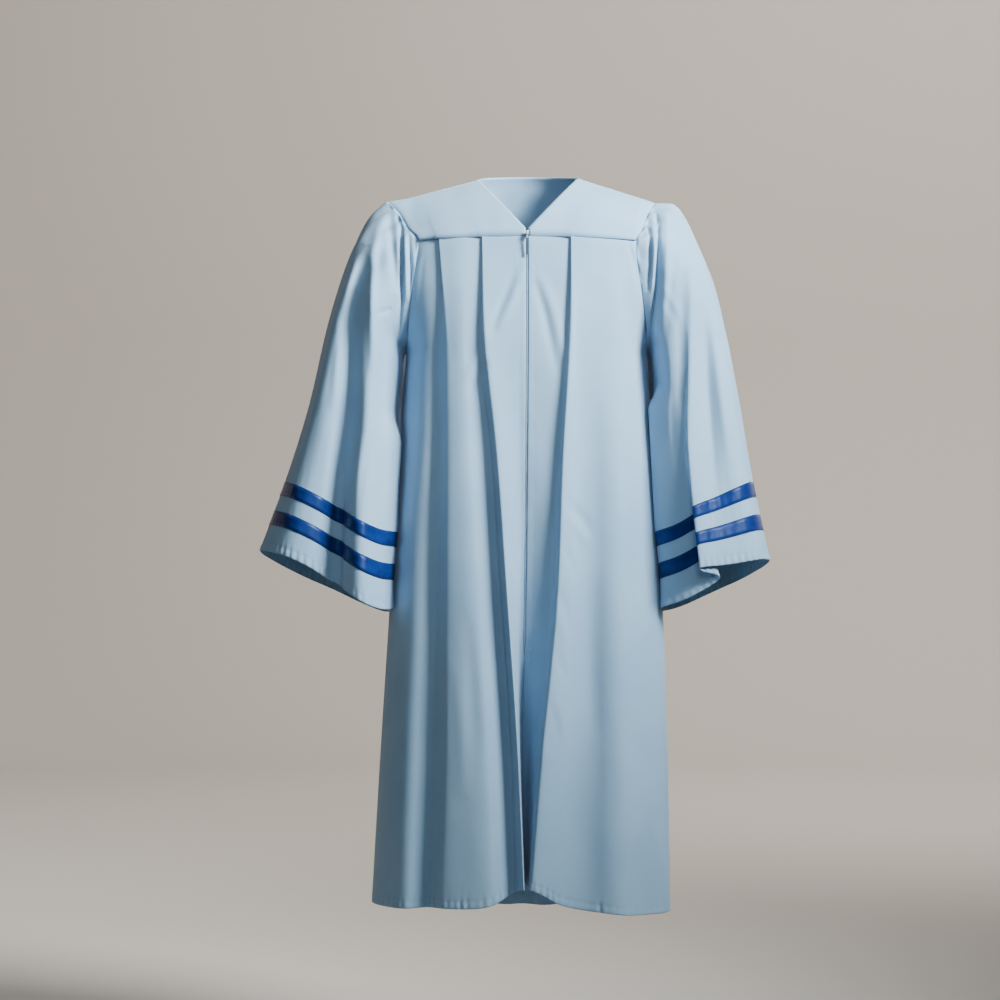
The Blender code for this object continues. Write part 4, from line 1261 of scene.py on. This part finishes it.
def dressed_sleeve(side, grid, places):
    """A sleeve with soft folds, the pull of its ribbons and its hem."""
    around = distances(np.concatenate([grid, grid[:, :1]], axis=1), 1)
    share = (around / around[:, -1:])[:, :-1]
    to_cuff = distances(grid, 0, from_end=True)
    away = grid - grid.mean(axis=1, keepdims=True)
    away /= np.linalg.norm(away, axis=2)[..., None]
    numbers = np.random.default_rng(60 + side)
    place = places[:, None]
    push = np.zeros(share.shape)
    for turns in range(3, 15):
        slide = numbers.uniform(-0.8, 0.8)
        wave = np.cos(2 * np.pi * (turns * share + slide * place + numbers.uniform()))
        push += wave * numbers.uniform(0.3, 1.0)
    push *= 0.00035 * risen(place, 0.1)
    push += puckers(share, around[-1, -1], to_cuff, 64 + side, CUFF_PUCKER, CUFF_STITCH)
    for near, far in (UPPER_RIBBON, LOWER_RIBBON):
        for edge in (near, far):
            ripple = np.sin(2 * np.pi * RIBBON_RIPPLES * share + 2 * uneven(share, int(1000 * edge)))
            push += RIBBON_PUCKER * ripple * np.exp(-(((to_cuff - edge) / 0.006) ** 2))
    push[0] = 0
    made = grid + away * push[..., None]
    facing = np.clip(-away[..., 1] * 4, -1, 1)
    leave = risen(place, 0.025) ** 2
    made[..., 1] -= creases(grid, SLEEVE_CREASES[side]) * np.clip(facing, 0, 1) * leave
    made[..., 1] += creases(grid, SLEEVE_BACK_CREASES[side]) * np.clip(-facing, 0, 1) * leave
    inward = np.clip(-2.5 * side * away[..., 0], 0, 1)
    for level, reach, depth, middle, breadth in SLEEVE_TOUCH[side]:
        begun = eased(risen(level - grid[..., 2], reach))
        ending = 1 - 0.32 * np.clip((-0.57 - grid[..., 2]) / 0.08, 0, 1)
        near = np.exp(-(((grid[..., 1] - middle) / breadth) ** 2))
        made[..., 0] -= side * depth * begun * ending * near * inward
    return made


def ribbon_over(grid, normals, places, near, far):
    """Grid of points of a ribbon on a sleeve, between two distances from the cuff edge."""
    reach = (1 - places) * SLEEVE_LENGTH
    rows = np.flatnonzero((reach < near + 1e-5) & (reach > far - 1e-5))
    return grid[rows] + normals[rows] * (CLOTH / 2 + 0.0001 + RIBBON / 2)


def zip_path(panels, behind):
    """Points up the zip line, so far behind the edges of the two front panels."""
    line = (panels[RIGHT][1:, 0] + panels[LEFT][1:, 0]) / 2
    line = np.vstack([line[0] + (0, 0.0052, 0.0070), line])
    line = line[line[:, 2] > ZIP_END]
    line[:, 1] += behind
    return line[::-1]


def band(line, near, far):
    """Grid of points of a flat band down a line, between two distances to its side."""
    return np.stack([line + (near + (far - near) * share, 0, 0) for share in (0, 0.5, 1)], axis=1)


# Finishes.
LIGHT_BLUE = (0.215, 0.390, 0.580)
robe_cloth = cloth_material("Robe cloth", LIGHT_BLUE, (0.172, 0.330, 0.515), (0.262, 0.445, 0.635), 0.80)
satin = satin_material("Royal satin", (0.003, 0.019, 0.125), (0.0015, 0.009, 0.065), (0.006, 0.036, 0.200))
robe_thread = thread_material("Robe thread", (0.420, 0.590, 0.760), (0.300, 0.450, 0.620))
ribbon_thread = thread_material("Ribbon thread", (0.010, 0.055, 0.300), (0.004, 0.022, 0.140))
zip_tape = tape_material("Zip tape", (0.300, 0.470, 0.660), (0.230, 0.380, 0.560))
zip_nylon = nylon_material("Zip nylon", (0.360, 0.530, 0.710), (0.260, 0.420, 0.600))
slider_metal = metal_material("Slider metal", (0.66, 0.70, 0.76), (0.80, 0.84, 0.90), 0.30)
# The pull tab's near-black colour is painted shade for the shadow it hangs in.
tab_painted_shade = painted_shade_tab_material("Tab painted shade", (0.045, 0.070, 0.110), (0.20, 0.25, 0.32))
repeats = repeat_tree("Pieces along a line", 6)

LIFT = CLOTH / 2 + 0.00008
STITCH = (0.00042, 0.00042, 0.0026)
STITCH_SPACING = 0.0031
shown = {}


def stitched(name, lines, finish, seed):
    """A row of stitches along each of the lines."""
    return laid_along(name, lines, repeats, STITCH_SPACING, STITCH, 0.10, seed, finish)


# Yokes and panels.
fronts = {side: front_panel(side) for side in (RIGHT, LEFT)}
back = back_panel()
both = [fronts[RIGHT], fronts[LEFT]]
for side, word in ((RIGHT, "right"), (LEFT, "left")):
    grid = dressed_front(side, fronts[side])
    fronts[side] = grid
    shown["front_" + word] = cloth_piece("front_" + word + "_cloth", grid, CLOTH, robe_cloth)
    normals = normals_of(grid, (0, 0))
    placket = line_at(grid, normals, 1, PLACKET_STITCH, LIFT)[2:]
    hem = line_at(grid, normals, 0, HEM_STITCH, LIFT, from_end=True)
    lines = [placket[placket[:, 2] > ZIP_END - 0.012], hem]
    if side == LEFT:
        for z in BAR_TACKS:
            middle = placket[np.argmin(np.abs(placket[:, 2] - z))]
            for step in range(BAR_THREADS):
                start = middle + (BAR_STEP * (step - 3.5), -0.0002, 0.0006)
                lines.append(np.array([start, start + (0.0002, 0, -0.0012)]))
    shown["stitches_front_" + word] = stitched("stitches_front_" + word, lines, robe_thread, 3 + side)

    yoke = dressed_yoke(front_yoke(side, both), 70 + side)
    shown["yoke_front_" + word] = cloth_piece("yoke_front_" + word + "_cloth", yoke, CLOTH, robe_cloth)
    neck = line_at(yoke, normals_of(yoke, (0, 0)), 1, NECK_STITCH, LIFT)[:-2]
    shown["stitches_yoke_" + word] = stitched("stitches_yoke_" + word, [neck], robe_thread, 8 + side)

yoke = dressed_yoke(back_yoke(back), 80, (30, 78))
shown["yoke_back"] = cloth_piece("yoke_back_cloth", yoke, CLOTH, robe_cloth)
neck = line_at(yoke, normals_of(yoke, (0, 0)), 0, NECK_STITCH, LIFT)[31:78]
shown["stitches_yoke_back"] = stitched("stitches_yoke_back", [neck], robe_thread, 12)
back = dressed_back(back)
shown["back"] = cloth_piece("back_cloth", back, CLOTH, robe_cloth)
hem = line_at(back, normals_of(back, (0, 0)), 0, HEM_STITCH, LIFT, from_end=True)
shown["stitches_back"] = stitched("stitches_back", [hem], robe_thread, 13)

# Sleeves and the two ribbons round each.
for side, word in ((RIGHT, "right"), (LEFT, "left")):
    grid, places = sleeve(side)
    grid = dressed_sleeve(side, grid, places)
    normals = normals_of(grid, grid.mean(axis=1, keepdims=True)[..., :2], closed=True)
    shown["sleeve_" + word] = cloth_piece("sleeve_" + word + "_cloth", grid, CLOTH, robe_cloth, closed=True)
    cuff = line_at(grid, normals, 0, CUFF_STITCH, LIFT, from_end=True)
    cuff = np.vstack([cuff, cuff[:1]])
    shown["stitches_cuff_" + word] = stitched("stitches_cuff_" + word, [cuff], robe_thread, 16 + side)
    for level, (near, far) in (("upper", UPPER_RIBBON), ("lower", LOWER_RIBBON)):
        strip = ribbon_over(grid, normals, places, near, far)
        name = f"ribbon_{word}_{level}"
        shown[name] = cloth_piece(name + "_satin", strip, RIBBON, satin, closed=True)
        facing = normals_of(strip, strip.mean(axis=1, keepdims=True)[..., :2], closed=True)
        lines = []
        for last in (False, True):
            line = line_at(strip, facing, 0, 0.0014, RIBBON / 2 + 0.00006, from_end=last)
            lines.append(np.vstack([line, line[:1]]))
        name = f"stitches_{word}_{level}"
        shown[name] = stitched(name, lines, ribbon_thread, 20 + side)

# Zip: two tapes behind the panels' edges, and the closed coil between the edges.
line = zip_path(fronts, 0.0017)
for side, word in ((RIGHT, "right"), (LEFT, "left")):
    grid = band(line, side * 0.00015, side * 0.011)
    shown["zip_tape_" + word] = cloth_piece("zip_tape_" + word + "_weave", grid, TAPE, zip_tape)
teeth = []
for shift, turn in ((-0.00030, 0), (0.00030, 1)):
    run = line - (0, TAPE / 2 + 0.0007, 0)
    teeth.append(run + (shift, 0, 0.00045 * turn))
shown["zip_coil"] = laid_along(
    "zip_coil_teeth", teeth, repeats, 0.00110, (0.0021, 0.0013, 0.00088), 0.03, 5, zip_nylon,
)

# Slider and pull tab keep their solids; the tab's near-black finish is painted shade.
for name, finish in (("zip_slider", slider_metal), ("zip_pull_tab", tab_painted_shade)):
    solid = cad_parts[name]
    solid.data.materials.clear()
    solid.data.materials.append(finish)

for name, piece in shown.items():
    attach(piece, "robe")
    if not name.startswith("stitches_"):
        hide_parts(name)
    if name.endswith(("_upper", "_lower")):
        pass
    elif name == "zip_coil":
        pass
    elif name.startswith("zip_tape"):
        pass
    else:
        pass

# Floor, backdrop, lights and camera.
FLOOR_Z = -1.46
FLOOR_RADIUS = 6.4
FLOOR_BEND = 1.6
FLOOR_BEND_STEPS = 16
BACKDROP_TOP = 6.0
FLOOR_SIDES = 72


def studio_floor():
    """A round pale floor that bends up into a backdrop all round."""
    profile = [(FLOOR_RADIUS, FLOOR_Z)]
    for step in range(1, FLOOR_BEND_STEPS + 1):
        angle = np.pi / 2 * step / FLOOR_BEND_STEPS
        radius = FLOOR_RADIUS + FLOOR_BEND * np.sin(angle)
        profile.append((radius, FLOOR_Z + FLOOR_BEND * (1 - np.cos(angle))))
    profile.append((FLOOR_RADIUS + FLOOR_BEND, BACKDROP_TOP))
    turns = np.linspace(0, 2 * np.pi, FLOOR_SIDES + 1)[:-1]
    points = [(r * np.cos(turn), r * np.sin(turn), z) for r, z in profile for turn in turns]
    points.append((0.0, 0.0, FLOOR_Z))
    middle = len(points) - 1
    faces = [(middle, index, (index + 1) % FLOOR_SIDES) for index in range(FLOOR_SIDES)]
    for row in range(len(profile) - 1):
        inner = FLOOR_SIDES * row
        outer = inner + FLOOR_SIDES
        for index in range(FLOOR_SIDES):
            after = (index + 1) % FLOOR_SIDES
            faces.append((inner + index, outer + index, outer + after, inner + after))
    mesh = bpy.data.meshes.new("studio_floor")
    mesh.from_pydata(points, [], faces)
    mesh.shade_smooth()
    made = bpy.data.objects.new("studio_floor", mesh)
    bpy.context.scene.collection.objects.link(made)
    return made


floor = studio_floor()
paper, _, _ = blank_material("Pale paper", {"Base Color": (0.56, 0.53, 0.49, 1.0), "Roughness": 0.95})
floor.data.materials.append(paper)


def lamp(name, place, target, size, power, colour, spread):
    """A soft square studio light that faces the target, its beam that many degrees wide."""
    light = bpy.data.lights.new(name, "AREA")
    light.size = size
    light.energy = power
    light.color = colour
    light.spread = np.radians(spread)
    made = bpy.data.objects.new(name, light)
    made.location = place
    made.rotation_euler = (Vector(target) - Vector(place)).to_track_quat("-Z", "Y").to_euler()
    bpy.context.scene.collection.objects.link(made)
    return made


lamp("key_light", (2.5, -1.9, 1.7), (0.15, 0, 0.42), 1.2, 68, (1.0, 0.97, 0.93), 50)
lamp("fill_light", (0.3, -4.2, 1.4), (0, 0, 0.05), 1.4, 4.6, (0.94, 0.97, 1.0), 42)
lamp("backdrop_light", (1.6, 3.0, 3.4), (0.8, 8.0, -0.4), 2.0, 300, (1.0, 0.95, 0.88), 158)
lamp("back_light", (0.7, 4.4, 1.6), (0.0, 0, -0.25), 1.4, 26, (0.97, 0.98, 1.0), 50)
world = bpy.data.worlds.new("Studio")
world.use_nodes = True
world.node_tree.nodes["Background"].inputs[0].default_value = (0.80, 0.86, 1.0, 1.0)
world.node_tree.nodes["Background"].inputs[1].default_value = 0.06
bpy.context.scene.world = world

lens = bpy.data.cameras.new("camera")
lens.lens = 121.05
lens.sensor_width = 36.0
lens.clip_end = 50.0
camera = bpy.data.objects.new("camera", lens)
camera.location = (-0.0432, -5.5, -0.5235)
camera.rotation_euler = (np.pi / 2, 0, 0)
bpy.context.scene.collection.objects.link(camera)
bpy.context.scene.camera = camera
